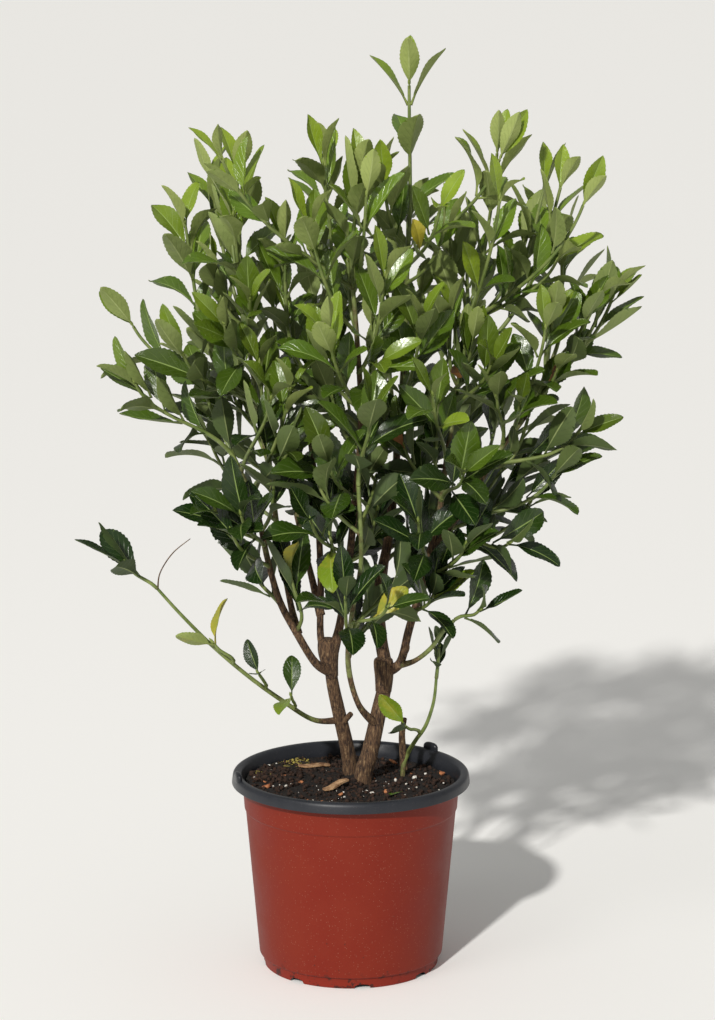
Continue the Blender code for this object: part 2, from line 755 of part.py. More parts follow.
def rod(name, radius, low, high, centre, segments, collection):
    """An upright cylinder between two heights."""
    bm = bmesh.new()
    bmesh.ops.create_cone(
        bm, cap_ends=True, segments=segments, radius1=radius, radius2=radius, depth=high - low
    )
    body = new_object(name, mesh_from(name, bm), collection)
    body.data.transform(Matrix.Translation((centre[0], centre[1], (low + high) / 2)))
    return body


def build_pot(collection, cutters):
    """The pot, with lugs on its rim, notches through its foot and drain holes in its floor."""
    plastic = new_material("terracotta_plastic", TERRACOTTA, 0.55)
    pot = turned_body("pot", pot_profile(), POT_SEGMENTS, collection, plastic)
    lug_place = (RIM_RADIUS - LUG_IN, 0.0, POT_HEIGHT + LUG_RISE)
    lugs = [box("lug", LUG_SIZE, lug_place, bearing, cutters) for bearing in LUG_BEARINGS]
    joined([pot, *lugs])
    notch_place = (FOOT_RADIUS - FOOT_WIDTH / 2, 0.0, 0.0)
    notch_size = (2 * FOOT_WIDTH, NOTCH_WIDTH, 2 * NOTCH_HEIGHT)
    openings = [
        box("notch", notch_size, notch_place, 360 * (k + NOTCH_TURN) / FOOT_NOTCHES, cutters)
        for k in range(FOOT_NOTCHES)
    ]
    for k in range(DRAIN_HOLES):
        bearing = math.tau * (k + 0.5) / DRAIN_HOLES
        centre = (DRAIN_CIRCLE * math.cos(bearing), DRAIN_CIRCLE * math.sin(bearing))
        openings.append(rod("drain", DRAIN_RADIUS, 0.0, 2 * FLOOR_RISE, centre, DRAIN_SEGMENTS, cutters))
    joined([pot], "DIFFERENCE", openings)
    pot.data.shade_smooth()
    pot.data.set_sharp_from_angle(angle=SHARP_ANGLE)
    return pot


def soil_height(x, y):
    """The soil's surface: small bumps, and a mound towards the rim on the left."""
    bumps = math.sin(x * 190 + 1.0) * math.cos(y * 230 - 0.4) + 0.7 * math.sin(x * 90 - y * 140 + 2.0)
    bearing = math.radians(MOUND_BEARING)
    towards = (x * math.cos(bearing) + y * math.sin(bearing)) / WALL_FOOT_RADIUS
    return SOIL_TOP + SOIL_BUMP * bumps / 1.7 + MOUND_RISE * max(towards, 0.0) ** 2


def build_soil(collection, cutters):
    """The root ball: it fills the pot, its top is raised by a formula, and the stems stand in holes."""
    peat = new_material("peat", PEAT, 0.95)
    facet = math.cos(math.pi / POT_SEGMENTS)
    floor = FLOOR_RISE + WALL + GAP
    pad_radius = (CENTRE_PAD_RADIUS - WALL) * facet - SOIL_SIDE_GAP
    profile = [(radius, SOIL_TOP) for radius in SOIL_RINGS]
    side = ((INNER_STEP_RADIUS, SOIL_TOP), (INNER_STEP_RADIUS, STEP_Z), (INNER_FOOT_RADIUS, floor))
    for radius, height in side:
        profile.append((radius * facet - SOIL_SIDE_GAP, height))
    profile.append((pad_radius, floor))
    profile.append((pad_radius, WALL + GAP))
    profile.append((0.0, WALL + GAP))
    soil = turned_body("soil", profile, SOIL_SEGMENTS, collection, peat)
    for vertex in soil.data.vertices:
        if vertex.co.z > SOIL_TOP - MM:
            vertex.co.z = soil_height(vertex.co.x, vertex.co.y)
    holes = []
    for limbs in TRUNKS.values():
        stem = next(iter(limbs.values()))
        x, y, _ = stem.points[0]
        radius = stem.radii[0] * MM + HOLE_SLACK
        low = SOIL_TOP - STEM_DEPTH
        high = SOIL_TOP + STEM_DEPTH
        holes.append(rod("hole", radius, low, high, (x * MM, y * MM), HOLE_SEGMENTS, cutters))
    joined([soil], "DIFFERENCE", holes)
    return soil


def build_chip(chip, soil, collection):
    """A flake of bark that lies on the soil, just clear of its highest point under the flake."""
    size = Vector((chip.length, chip.width, chip.thickness)) * MM
    bm = bmesh.new()
    bmesh.ops.create_cube(bm, size=1.0)
    bmesh.ops.scale(bm, vec=size, verts=bm.verts)
    long_edges = [edge for edge in bm.edges if abs(edge.verts[0].co.x - edge.verts[1].co.x) > MM]
    bmesh.ops.subdivide_edges(bm, edges=long_edges, cuts=3)
    for vertex in bm.verts:
        reach = 2 * vertex.co.x / size.x
        vertex.co.y *= 1.0 - CHIP_TAPER * reach**2
        vertex.co.y += CHIP_BEND * size.y * math.sin(3 * reach)
        vertex.co.z += CHIP_WARP * math.sin(2.5 * reach)
    flake = new_object(chip.name, mesh_from(chip.name, bm), collection, new_material(chip.name, CHIP, 0.8))
    lean = Matrix.Rotation(math.radians(chip.slope), 4, "Y")
    turn = Matrix.Rotation(math.radians(chip.bearing), 4, "Z")
    above = Vector((*chip.place, 0.0)) * MM + UP * 2 * SOIL_TOP
    flake.data.transform(Matrix.Translation(above) @ turn @ lean)
    ground_tree = BVHTree.FromObject(soil, bpy.context.evaluated_depsgraph_get())
    flake_tree = BVHTree.FromObject(flake, bpy.context.evaluated_depsgraph_get())
    drops = [ground_tree.ray_cast(vertex.co, -UP)[3] for vertex in flake.data.vertices]
    drops += [flake_tree.ray_cast(vertex.co, UP)[3] for vertex in soil.data.vertices]
    drop = min(drop for drop in drops if drop) - GAP
    flake.data.transform(Matrix.Translation(-UP * drop))
    return flake


def build_trunk(name, limbs, collection, bark):
    """A woody stem: its limbs and the short spurs that the shoots grow from, as one body."""
    bodies = []
    for limb in limbs.values():
        route = limb_route(limb)
        if not bodies:
            route.insert(0, Vector((route[0].x, route[0].y, SOIL_TOP - STEM_DEPTH + GAP)))
        radii = (limb.radii[0] * MM, limb.radii[1] * MM)
        bodies.append(tube(name, route, radii, limb.sides, collection, bark))
    for shoot in SHOOTS:
        if shoot.at >= 1.0 or shoot.limb not in limbs:
            continue
        axis, start, direction = shoot_start(shoot)
        radius = shoot_radii(shoot)[0] * SPUR_STOUTNESS
        bodies.append(spur(axis, start - direction * GAP, radius, collection))
    trunk = joined(bodies)
    trunk.name = name
    trunk.data.materials.clear()
    trunk.data.materials.append(bark)
    return trunk


def build_shoot(shoot, leaves, collection, green):
    """A leafy shoot: its stem and its leaves, whose roots lie inside the stem, as one body."""
    name = "shoot_" + shoot.name
    stem = tube(name, shoot_route(shoot), shoot_radii(shoot), 4, collection, green)
    blades = []
    for leaf in leaves:
        vertices, faces = leaf_shape(leaf.length, leaf.width, BLADES[leaf.kind])
        mesh = bpy.data.meshes.new("blade")
        mesh.from_pydata([leaf.matrix @ vertex for vertex in vertices], [], faces)
        blades.append(new_object("blade", mesh, collection))
    body = joined([stem, *blades])
    body.name = name
    body.data.materials.clear()
    body.data.materials.append(green)
    return body


def build_plant(collection):
    """The woody stems and the shoots. Leaves are placed one after another, each clear of the rest."""
    bark = new_material("bark", BARK, 0.85)
    green = new_material("leaf_green", LEAF_GREEN, 0.38)
    for name, limbs in TRUNKS.items():
        build_trunk(name, limbs, collection, bark)
    room = Room()
    for limbs in TRUNKS.values():
        for limb in limbs.values():
            room.add_stem(limb_route(limb), limb_radius(limb, 0.0), "wood")
    for shoot in SHOOTS:
        axis, start, _ = shoot_start(shoot)
        room.add_stem([axis, start], shoot_radii(shoot)[0] * SPUR_STOUTNESS, "wood")
        room.add_stem(shoot_route(shoot), shoot_radii(shoot)[0], shoot.name)
    for shoot in SHOOTS:
        build_shoot(shoot, grown_leaves(shoot, room), collection, green)


def main():
    clear_scene()
    collection = new_collection("potted_euonymus")
    cutters = new_collection("cutters")
    build_pot(collection, cutters)
    soil = build_soil(collection, cutters)
    for chip in CHIPS:
        build_chip(chip, soil, collection)
    build_plant(collection)


main()
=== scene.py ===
"""A potted Japanese euonymus: a leafy evergreen shrub in a terracotta-coloured plastic pot.

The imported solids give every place. Here each gets its real surface: fine toothed leaves on green stems,
bark, a rolled pot lip, and compost with its fibres, grains and flakes of bark.
"""

from __future__ import annotations

import json
import logging
import math
import random
from dataclasses import dataclass
from enum import Enum

import bpy
import numpy as np
from mathutils import Matrix, Vector, noise
from mathutils.bvhtree import BVHTree

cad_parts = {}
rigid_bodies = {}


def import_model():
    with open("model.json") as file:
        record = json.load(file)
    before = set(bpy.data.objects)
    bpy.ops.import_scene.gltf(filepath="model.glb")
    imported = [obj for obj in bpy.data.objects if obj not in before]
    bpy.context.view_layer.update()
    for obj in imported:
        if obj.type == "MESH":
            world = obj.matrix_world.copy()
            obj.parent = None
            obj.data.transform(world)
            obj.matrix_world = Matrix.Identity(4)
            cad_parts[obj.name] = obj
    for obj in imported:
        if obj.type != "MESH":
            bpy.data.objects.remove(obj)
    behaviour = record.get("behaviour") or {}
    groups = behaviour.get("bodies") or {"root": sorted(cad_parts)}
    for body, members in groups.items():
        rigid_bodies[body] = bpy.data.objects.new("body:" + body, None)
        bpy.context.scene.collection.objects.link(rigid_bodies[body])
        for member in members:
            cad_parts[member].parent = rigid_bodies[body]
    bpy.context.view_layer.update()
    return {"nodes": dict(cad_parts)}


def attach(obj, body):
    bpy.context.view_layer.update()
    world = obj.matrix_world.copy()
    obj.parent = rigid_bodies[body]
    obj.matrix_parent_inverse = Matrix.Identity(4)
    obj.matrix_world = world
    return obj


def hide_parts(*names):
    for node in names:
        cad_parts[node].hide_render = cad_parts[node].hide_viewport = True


LOG = logging.getLogger("potted_euonymus")
MM = 0.001
GAP = 0.3 * MM
UP = Vector((0.0, 0.0, 1.0))
SEED = 21
BODY = "root"


def tone(red: int, green: int, blue: int) -> tuple[float, float, float, float]:
    """A colour from its display values.

    Args:
        red, green, blue: display values, from 0 to 255.

    Returns:
        The linear colour with full alpha.
    """
    linear = [v / 12.92 if v <= 0.04045 else ((v + 0.055) / 1.055) ** 2.4
              for v in (red / 255, green / 255, blue / 255)]
    return (*linear, 1.0)


def linear_mix(a: float, b: float, share: float) -> float:
    """The value this share of the way from a to b."""
    return a + (b - a) * share


class Tree:
    """A node tree under construction."""

    def __init__(self, tree: bpy.types.NodeTree) -> None:
        """Keeps the tree."""
        self.tree = tree

    def add(self, kind: str, inputs: dict | None = None, **settings: object) -> bpy.types.Node:
        """Adds a node.

        Args:
            kind: the node's type name.
            inputs: a value or a source socket for each input, by name or number.
            settings: the node's own properties.

        Returns:
            The new node.
        """
        node = self.tree.nodes.new(kind)
        for name, value in settings.items():
            setattr(node, name, value)
        for key, value in (inputs or {}).items():
            if isinstance(value, bpy.types.NodeSocket):
                self.tree.links.new(value, node.inputs[key])
            else:
                node.inputs[key].default_value = value
        return node

    def attribute(self, name: str) -> bpy.types.NodeSocket:
        """The value of a named attribute, for a shader."""
        return self.add("ShaderNodeAttribute", attribute_name=name).outputs["Fac"]

    def math(self, operation: str, *terms: object, clamp: bool = False) -> bpy.types.NodeSocket:
        """A sum of one to three values."""
        node = self.add("ShaderNodeMath", dict(enumerate(terms)), operation=operation, use_clamp=clamp)
        return node.outputs["Value"]

    def span(self, value: object, low: float, high: float, to_low: float = 0.0,
             to_high: float = 1.0) -> bpy.types.NodeSocket:
        """A value taken smoothly from one range to another, and held at its ends."""
        inputs = {0: value, 1: low, 2: high, 3: to_low, 4: to_high}
        node = self.add("ShaderNodeMapRange", inputs, interpolation_type="SMOOTHSTEP")
        return node.outputs["Result"]

    def mix(self, share: object, a: object, b: object, blend: str = "MIX") -> bpy.types.NodeSocket:
        """A mix of two colours."""
        node = self.add("ShaderNodeMix", {0: share, 6: a, 7: b}, data_type="RGBA", blend_type=blend)
        return node.outputs[2]

    def noise(self, vector: object, scale: float, detail: float = 3.0,
              roughness: float = 0.55) -> bpy.types.NodeSocket:
        """Noise from 0 to 1 over a vector."""
        inputs = {"Vector": vector, "Scale": scale, "Detail": detail, "Roughness": roughness}
        return self.add("ShaderNodeTexNoise", inputs).outputs["Fac"]

    def group(self, group: bpy.types.NodeTree, inputs: dict) -> bpy.types.Node:
        """Places a shared node group."""
        return self.add("ShaderNodeGroup", inputs, node_tree=group)


def shader_group(name: str, inputs: dict[str, float | None], outputs: tuple[str, ...]) -> tuple:
    """A new group for effects that several materials share.

    Args:
        name: the group's name.
        inputs: its inputs, each with its usual value, or None for a vector.
        outputs: the names of its output values.

    Returns:
        The group, its tree, the node that brings in its inputs and the one that takes its outputs.
    """
    group = bpy.data.node_groups.new(name, "ShaderNodeTree")
    for key, value in inputs.items():
        kind = "NodeSocketVector" if value is None else "NodeSocketFloat"
        socket = group.interface.new_socket(key, in_out="INPUT", socket_type=kind)
        if value is not None:
            socket.default_value = value
    for key in outputs:
        group.interface.new_socket(key, in_out="OUTPUT", socket_type="NodeSocketFloat")
    tree = Tree(group)
    return group, tree, tree.add("NodeGroupInput"), tree.add("NodeGroupOutput")


def mottle_group() -> bpy.types.NodeTree:
    """The group for soft uneven patches: broad clouds with finer ones in them."""
    group, tree, into, out = shader_group(
        "mottle", {"Place": None, "Scale": 40.0, "Contrast": 0.5}, ("Patches", "Grain")
    )
    broad = tree.add("ShaderNodeTexNoise", {"Vector": into.outputs["Place"], "Scale": into.outputs["Scale"],
                                            "Detail": 4.0, "Roughness": 0.6}).outputs["Fac"]
    fine_scale = tree.math("MULTIPLY", into.outputs["Scale"], 9.0)
    fine = tree.add("ShaderNodeTexNoise", {"Vector": into.outputs["Place"], "Scale": fine_scale,
                                           "Detail": 3.0, "Roughness": 0.7}).outputs["Fac"]
    centred = tree.math("SUBTRACT", broad, 0.5)
    spread = tree.math("MULTIPLY", centred, tree.math("MULTIPLY", into.outputs["Contrast"], 6.0))
    tree.tree.links.new(tree.math("ADD", spread, 0.5, clamp=True), out.inputs["Patches"])
    tree.tree.links.new(fine, out.inputs["Grain"])
    return group


def speckle_group() -> bpy.types.NodeTree:
    """The group for small separate specks, such as dust and splashes of compost."""
    group, tree, into, out = shader_group(
        "speckle", {"Place": None, "Scale": 400.0, "Size": 0.25, "Amount": 0.3}, ("Specks",)
    )
    cells = tree.add("ShaderNodeTexVoronoi", {"Vector": into.outputs["Place"], "Scale": into.outputs["Scale"]})
    near = tree.math("LESS_THAN", cells.outputs["Distance"], into.outputs["Size"])
    lot = tree.add("ShaderNodeSeparateColor", {"Color": cells.outputs["Color"]}).outputs["Red"]
    chosen = tree.math("LESS_THAN", lot, into.outputs["Amount"])
    tree.tree.links.new(tree.math("MULTIPLY", near, chosen), out.inputs["Specks"])
    return group


@dataclass
class Effects:
    """The shared effects: soft patches and small specks."""

    mottle: bpy.types.NodeTree
    speckle: bpy.types.NodeTree


def new_material(name: str, roughness: float) -> tuple[bpy.types.Material, Tree, bpy.types.Node]:
    """A material with its tree and its main shader.

    Args:
        name: the material's name.
        roughness: the shader's plain roughness.

    Returns:
        The material, its tree and the shader node.
    """
    material = bpy.data.materials.new(name)
    material.use_nodes = True
    shader = material.node_tree.nodes["Principled BSDF"]
    shader.inputs["Roughness"].default_value = roughness
    return material, Tree(material.node_tree), shader


def finish_shader(tree: Tree, shader: bpy.types.Node, colour: object, height: object, bump: float,
                  distance: float, roughness: object = None) -> None:
    """Feeds the main shader.

    Args:
        tree: the material's tree.
        shader: its main shader.
        colour: the source of the base colour.
        height: the source of the bump's height.
        bump: the bump's strength.
        distance: the bump's depth in metres.
        roughness: the source of the roughness, if it changes over the surface.
    """
    normal = tree.add("ShaderNodeBump", {"Height": height, "Strength": bump, "Distance": distance})
    tree.tree.links.new(normal.outputs["Normal"], shader.inputs["Normal"])
    tree.tree.links.new(colour, shader.inputs["Base Color"])
    if roughness is not None:
        tree.tree.links.new(roughness, shader.inputs["Roughness"])


def place_socket(tree: Tree) -> bpy.types.NodeSocket:
    """The object coordinates."""
    return tree.add("ShaderNodeTexCoord").outputs["Object"]


@dataclass(frozen=True)
class LeafFinish:
    """Waxy leaves: glossy above, matt below, with pale veins. Young ones are lime, old ones turn yellow. Leaves low in
    the bush are darkened with painted shade, above and below.
    """

    name: str = "leaf_green"
    young: tuple = tone(136, 158, 44)
    grown: tuple = tone(84, 114, 26)
    # The darkest green: painted shade on low leaves, and also dark patches and darker side veins below.
    dark: tuple = tone(22, 43, 9)
    under_young: tuple = tone(148, 160, 88)
    under_grown: tuple = tone(128, 142, 78)
    # Painted shade: the underside colour of low, shaded leaves.
    under_shaded: tuple = tone(56, 72, 34)
    yellow: tuple = tone(172, 160, 52)
    brown: tuple = tone(132, 86, 44)
    vein: tuple = tone(150, 172, 96)
    veins: float = 7.5
    vein_slope: float = 0.30

    def vein_masks(self, tree: Tree) -> tuple:
        """Where the midrib, the side veins and the net between them run, from the leaf's own map.

        Args:
            tree: the material's tree.

        Returns:
            The midrib's mask, the side veins' mask and the net's mask.
        """
        where = tree.add("ShaderNodeUVMap", uv_map="UVMap").outputs["UV"]
        parts = tree.add("ShaderNodeSeparateXYZ", {"Vector": where})
        along = parts.outputs["Y"]
        across = tree.math("ABSOLUTE", tree.math("MULTIPLY_ADD", parts.outputs["X"], 2.0, -1.0))
        rib_width = tree.math("MULTIPLY_ADD", along, -0.065, 0.105)
        midrib = tree.math("SUBTRACT", 1.0, tree.math("DIVIDE", across, rib_width), clamp=True)
        lean = tree.math("MULTIPLY", tree.math("POWER", across, 0.85), self.vein_slope)
        phase = tree.math("FRACT", tree.math("MULTIPLY", tree.math("SUBTRACT", along, lean), self.veins))
        off = tree.math("ABSOLUTE", tree.math("SUBTRACT", phase, 0.5))
        side = tree.math("MULTIPLY", tree.span(off, 0.10, 0.0), tree.span(across, 0.95, 0.55))
        scaled = tree.add("ShaderNodeVectorMath", {0: where, 1: (10.0, 26.0, 1.0)}, operation="MULTIPLY")
        cells = tree.add("ShaderNodeTexVoronoi", {"Vector": scaled.outputs["Vector"], "Scale": 1.0},
                         feature="DISTANCE_TO_EDGE")
        net = tree.span(cells.outputs["Distance"], 0.10, 0.0)
        return midrib, side, net

    def material(self, effects: Effects) -> bpy.types.Material:
        """Builds the finish.

        Args:
            effects: the shared effects.

        Returns:
            The leaf material.
        """
        material, tree, shader = new_material(self.name, 0.4)
        place = place_socket(tree)
        mottle = tree.group(effects.mottle, {"Place": place, "Scale": 55.0, "Contrast": 0.5})
        midrib, side, net = self.vein_masks(tree)
        age = tree.attribute("age")
        # Painted shade: this value is higher for leaves lower in the bush.
        tint = tree.attribute("tint")
        fade = tree.attribute("fade")
        upper = tree.attribute("upper")
        # Painted shade: the shade value darkens the upper side towards the darkest green, weakens its pale side veins,
        # and darkens the underside too.
        deep = tree.mix(tint, self.grown, self.dark)
        top = tree.mix(age, self.young, deep)
        top = tree.mix(tree.math("MULTIPLY", mottle.outputs["Patches"], 0.22), top, self.dark)
        top = tree.mix(tree.math("MULTIPLY", side, tree.math("MULTIPLY_ADD", tint, -0.14, 0.22)), top, self.vein)
        top = tree.mix(tree.math("MULTIPLY", midrib, 0.85), top, self.vein)
        below = tree.mix(age, self.under_young, tree.mix(tint, self.under_grown, self.under_shaded))
        below = tree.mix(tree.math("MULTIPLY", mottle.outputs["Patches"], 0.18), below, self.grown)
        below = tree.mix(tree.math("MULTIPLY", midrib, 0.8), below, tone(172, 184, 122))
        below = tree.mix(tree.math("MULTIPLY", side, 0.18), below, self.dark)
        colour = tree.mix(upper, below, top)
        turning = tree.span(tree.math("ADD", fade, tree.math("MULTIPLY", mottle.outputs["Patches"], 0.3)), 0.35, 0.75)
        colour = tree.mix(turning, colour, self.yellow)
        dying = tree.span(tree.math("ADD", fade, tree.math("MULTIPLY", mottle.outputs["Grain"], 0.25)), 0.95, 1.15)
        colour = tree.mix(dying, colour, self.brown)
        ridges = tree.math("ADD", tree.math("MULTIPLY", midrib, -1.0), tree.math("MULTIPLY", side, -0.5))
        ridges = tree.math("ADD", ridges, tree.math("MULTIPLY", net, -0.12))
        height = tree.math("ADD", ridges, tree.math("MULTIPLY", mottle.outputs["Grain"], 0.15))
        rough = tree.span(upper, 0.0, 1.0, 0.60, 0.20)
        rough = tree.math("ADD", rough, tree.math("MULTIPLY", mottle.outputs["Patches"], 0.10))
        rough = tree.math("ADD", rough, tree.math("MULTIPLY", fade, 0.15))
        finish_shader(tree, shader, colour, height, 0.55, 0.0004, rough)
        shader.inputs["Specular IOR Level"].default_value = 0.5
        return material


@dataclass(frozen=True)
class StemFinish:
    """Stems: smooth and green near their tips, brown-grey and rough where they are old."""

    name: str
    green: tuple = tone(88, 106, 48)
    wood: tuple = tone(98, 73, 50)
    dark: tuple = tone(42, 28, 20)
    fibre: tuple = tone(152, 128, 94)
    depth: float = 0.0009

    def material(self, effects: Effects) -> bpy.types.Material:
        """Builds the finish.

        Args:
            effects: the shared effects.

        Returns:
            The stem material.
        """
        material, tree, shader = new_material(self.name, 0.7)
        place = place_socket(tree)
        drawn = tree.add("ShaderNodeVectorMath", {0: place, 1: (1.0, 1.0, 0.22)}, operation="MULTIPLY")
        mottle = tree.group(effects.mottle, {"Place": place, "Scale": 90.0, "Contrast": 0.6})
        streaks = tree.noise(drawn.outputs["Vector"], 700.0, 5.0, 0.65)
        specks = tree.group(effects.speckle, {"Place": place, "Scale": 520.0, "Size": 0.28, "Amount": 0.35})
        youth = tree.attribute("youth")
        green = tree.span(tree.math("ADD", youth, tree.math("MULTIPLY", mottle.outputs["Patches"], 0.3)), 0.35, 0.75)
        bark = tree.mix(tree.span(streaks, 0.36, 0.60), self.dark, self.wood)
        bark = tree.mix(tree.math("MULTIPLY", tree.span(streaks, 0.56, 0.68), 0.7), bark, self.fibre)
        bark = tree.mix(tree.math("MULTIPLY", specks.outputs["Specks"], 0.3), bark, self.fibre)
        colour = tree.mix(green, bark, tree.mix(mottle.outputs["Patches"], self.green, tone(122, 134, 74)))
        rough = tree.span(green, 0.0, 1.0, 0.88, 0.45)
        height = tree.math("MULTIPLY", tree.math("ADD", streaks, specks.outputs["Specks"]),
                           tree.span(green, 0.0, 1.0, 1.0, 0.15))
        finish_shader(tree, shader, colour, height, 0.8, self.depth, rough)
        return material


@dataclass(frozen=True)
class PlasticFinish:
    """Thin formed plastic, satin, with dust and dried splashes of compost low down."""

    name: str
    colour: tuple
    worn: tuple
    roughness: float
    dust: float
    dusty: tuple
    low_shade: float = 0.0

    def material(self, effects: Effects) -> bpy.types.Material:
        """Builds the finish.

        Args:
            effects: the shared effects.

        Returns:
            The plastic material.
        """
        material, tree, shader = new_material(self.name, self.roughness)
        place = place_socket(tree)
        mottle = tree.group(effects.mottle, {"Place": place, "Scale": 26.0, "Contrast": 0.5})
        dust = tree.group(effects.speckle, {"Place": place, "Scale": 900.0, "Size": 0.26, "Amount": self.dust})
        splash = tree.group(effects.speckle, {"Place": place, "Scale": 210.0, "Size": 0.16, "Amount": 0.10})
        smear = tree.span(tree.noise(place, 150.0, 4.0, 0.6), 0.55, 0.62)
        level = tree.add("ShaderNodeSeparateXYZ", {"Vector": place}).outputs["Z"]
        low = tree.span(level, 0.014, 0.0, 0.0, 1.0)
        colour = tree.mix(tree.math("MULTIPLY", mottle.outputs["Patches"], 0.35), self.colour, self.worn)
        colour = tree.mix(tree.math("MULTIPLY", dust.outputs["Specks"], 0.3), colour, self.dusty)
        dirt = tree.math("MULTIPLY", splash.outputs["Specks"], tree.span(level, 0.09, 0.0, 0.15, 1.0))
        colour = tree.mix(tree.math("MULTIPLY", dirt, 0.6), colour, tone(44, 34, 28))
        colour = tree.mix(tree.math("MULTIPLY", low, self.low_shade), colour, tone(124, 30, 12))
        dirt = tree.math("MULTIPLY", smear, tree.span(level, 0.016, 0.006))
        colour = tree.mix(tree.math("MULTIPLY", dirt, self.low_shade), colour, tone(34, 20, 16))
        rough = tree.math("ADD", self.roughness, tree.math("MULTIPLY", mottle.outputs["Patches"], 0.14))
        rough = tree.math("ADD", rough, tree.math("MULTIPLY", dust.outputs["Specks"], 0.2))
        finish_shader(tree, shader, colour, mottle.outputs["Grain"], 0.25, 0.0003, rough)
        shader.inputs["Specular IOR Level"].default_value = 0.28
        return material


@dataclass(frozen=True)
class GroundFinish:
    """Loose matter: peat, fibres, grains and flakes, each in two tones with a rough surface."""

    name: str
    dark: tuple
    light: tuple
    scale: float
    roughness: float
    depth: float

    def material(self, effects: Effects) -> bpy.types.Material:
        """Builds the finish.

        Args:
            effects: the shared effects.

        Returns:
            The material.
        """
        material, tree, shader = new_material(self.name, self.roughness)
        place = place_socket(tree)
        mottle = tree.group(effects.mottle, {"Place": place, "Scale": self.scale, "Contrast": 0.7})
        tint = tree.attribute("tint")
        share = tree.math("ADD", mottle.outputs["Patches"], tree.math("MULTIPLY", tint, 0.5), clamp=True)
        colour = tree.mix(share, self.dark, self.light)
        finish_shader(tree, shader, colour, mottle.outputs["Grain"], 0.9, self.depth)
        return material


@dataclass(frozen=True)
class Limb:
    """A stretch of wood: the points it runs through and its end radii, all in millimetres."""

    points: tuple
    radii: tuple


@dataclass(frozen=True)
class Shoot:
    """A leafy shoot: its limb and how far along, its tip and leaf length in millimetres, its pairs of
    leaves, the first pair's turn in degrees, the bare share below and the shares of uneven pairs."""

    name: str
    limb: str
    at: float
    tip: tuple
    pairs: int
    leaf: float
    turn: float = 0.0
    bare: float = 0.25
    rise: float = 0.5
    nodes: tuple = ()


@dataclass(frozen=True)
class Blade:
    """A leaf's shape: its bend and fold in radians, its wave and where it is widest."""

    bend: float
    fold: float
    wave: float
    belly: float


BLADES = (
    Blade(bend=0.35, fold=0.22, wave=0.018, belly=1.00),
    Blade(bend=0.60, fold=0.30, wave=0.024, belly=1.12),
    Blade(bend=0.15, fold=0.16, wave=0.014, belly=0.95),
    Blade(bend=-0.25, fold=0.34, wave=0.020, belly=1.05),
    Blade(bend=0.85, fold=0.26, wave=0.030, belly=1.18),
    Blade(bend=0.40, fold=0.42, wave=0.016, belly=0.90),
)

# The wood. In each trunk the limb that stands in the soil comes first.
TRUNKS = {
    "trunk_left": {
        "left_main": Limb(
            ((-1, 34, 152), (-4, 32, 172), (-10, 28, 200), (-15, 23, 226), (-17, 18, 250)),
            (6.2, 4.6),
        ),
        "far": Limb(
            ((-15, 21, 234), (-28, 9, 244), (-43, 0, 271), (-56, -6, 298), (-65, -11, 332), (-74, -12, 374),
             (-88, -10, 407)),
            (3.6, 1.9),
        ),
        "left": Limb(
            ((-42, 1, 270), (-48, 14, 292), (-57, 28, 338), (-64, 35, 390), (-74, 35, 448), (-83, 29, 518)),
            (2.7, 1.7),
        ),
        "inner": Limb(
            ((-16, 18, 244), (-24, 20, 262), (-24, 26, 310), (-27, 34, 372), (-33, 36, 440), (-28, 34, 506),
             (-18, 30, 548)),
            (3.2, 1.7),
        ),
        "centre": Limb(
            ((-16, 18, 246), (-9, 16, 272), (-2, 4, 322), (4, -11, 386), (8, -15, 446), (5, -16, 506),
             (1, -15, 556)),
            (3.8, 1.7),
        ),
        "back_left": Limb(
            ((-24, 22, 280), (-34, 40, 318), (-45, 60, 360), (-54, 78, 402), (-56, 88, 440)),
            (2.6, 1.7),
        ),
        "arch": Limb(
            ((-9, 28, 192), (-30, 18, 195), (-55, 3, 215), (-81, -10, 238), (-108, -22, 265),
             (-132, -30, 292), (-150, -35, 314)),
            (2.2, 1.2),
        ),
    },
    "trunk_right": {
        "right_main": Limb(
            ((10, 8, 152), (15, 8, 170), (22, 11, 202), (28, 14, 233), (24, 17, 262), (22, 20, 300),
             (29, 26, 336), (32, 31, 360)),
            (7.4, 3.2),
        ),
        "leader": Limb(
            ((31, 29, 352), (36, 36, 395), (40, 40, 451), (43, 34, 508), (44, 20, 557), (45, 15, 577)),
            (2.9, 1.6),
        ),
        "right": Limb(
            ((27, 14, 236), (39, 5, 245), (46, -2, 274), (54, -7, 304), (64, -11, 338), (90, -14, 377),
             (113, -10, 415), (138, -2, 448), (156, 5, 486)),
            (3.8, 1.7),
        ),
        "tall": Limb(
            ((60, -9, 328), (69, -10, 368), (76, -5, 420), (87, 6, 488), (94, 9, 522)),
            (2.6, 1.7),
        ),
        "low": Limb(
            ((36, 8, 242), (50, -5, 249), (63, -12, 261), (72, -15, 275), (81, -18, 285)),
            (2.2, 1.5),
        ),
        "front": Limb(
            ((20, 8, 194), (6, -5, 214), (-2, -18, 250), (1, -34, 294), (8, -52, 340), (6, -69, 402)),
            (2.6, 1.6),
        ),
        "back_right": Limb(
            ((22, 19, 284), (28, 38, 322), (34, 60, 366), (36, 80, 412), (32, 94, 456)),
            (2.9, 1.7),
        ),
    },
    "side_stem": {
        "side_main": Limb(
            ((42, 24, 152), (46, 23, 166), (52, 18, 178), (60, 12, 192), (66, 9, 212), (68, 6, 232)),
            (2.0, 1.2),
        ),
    },
}

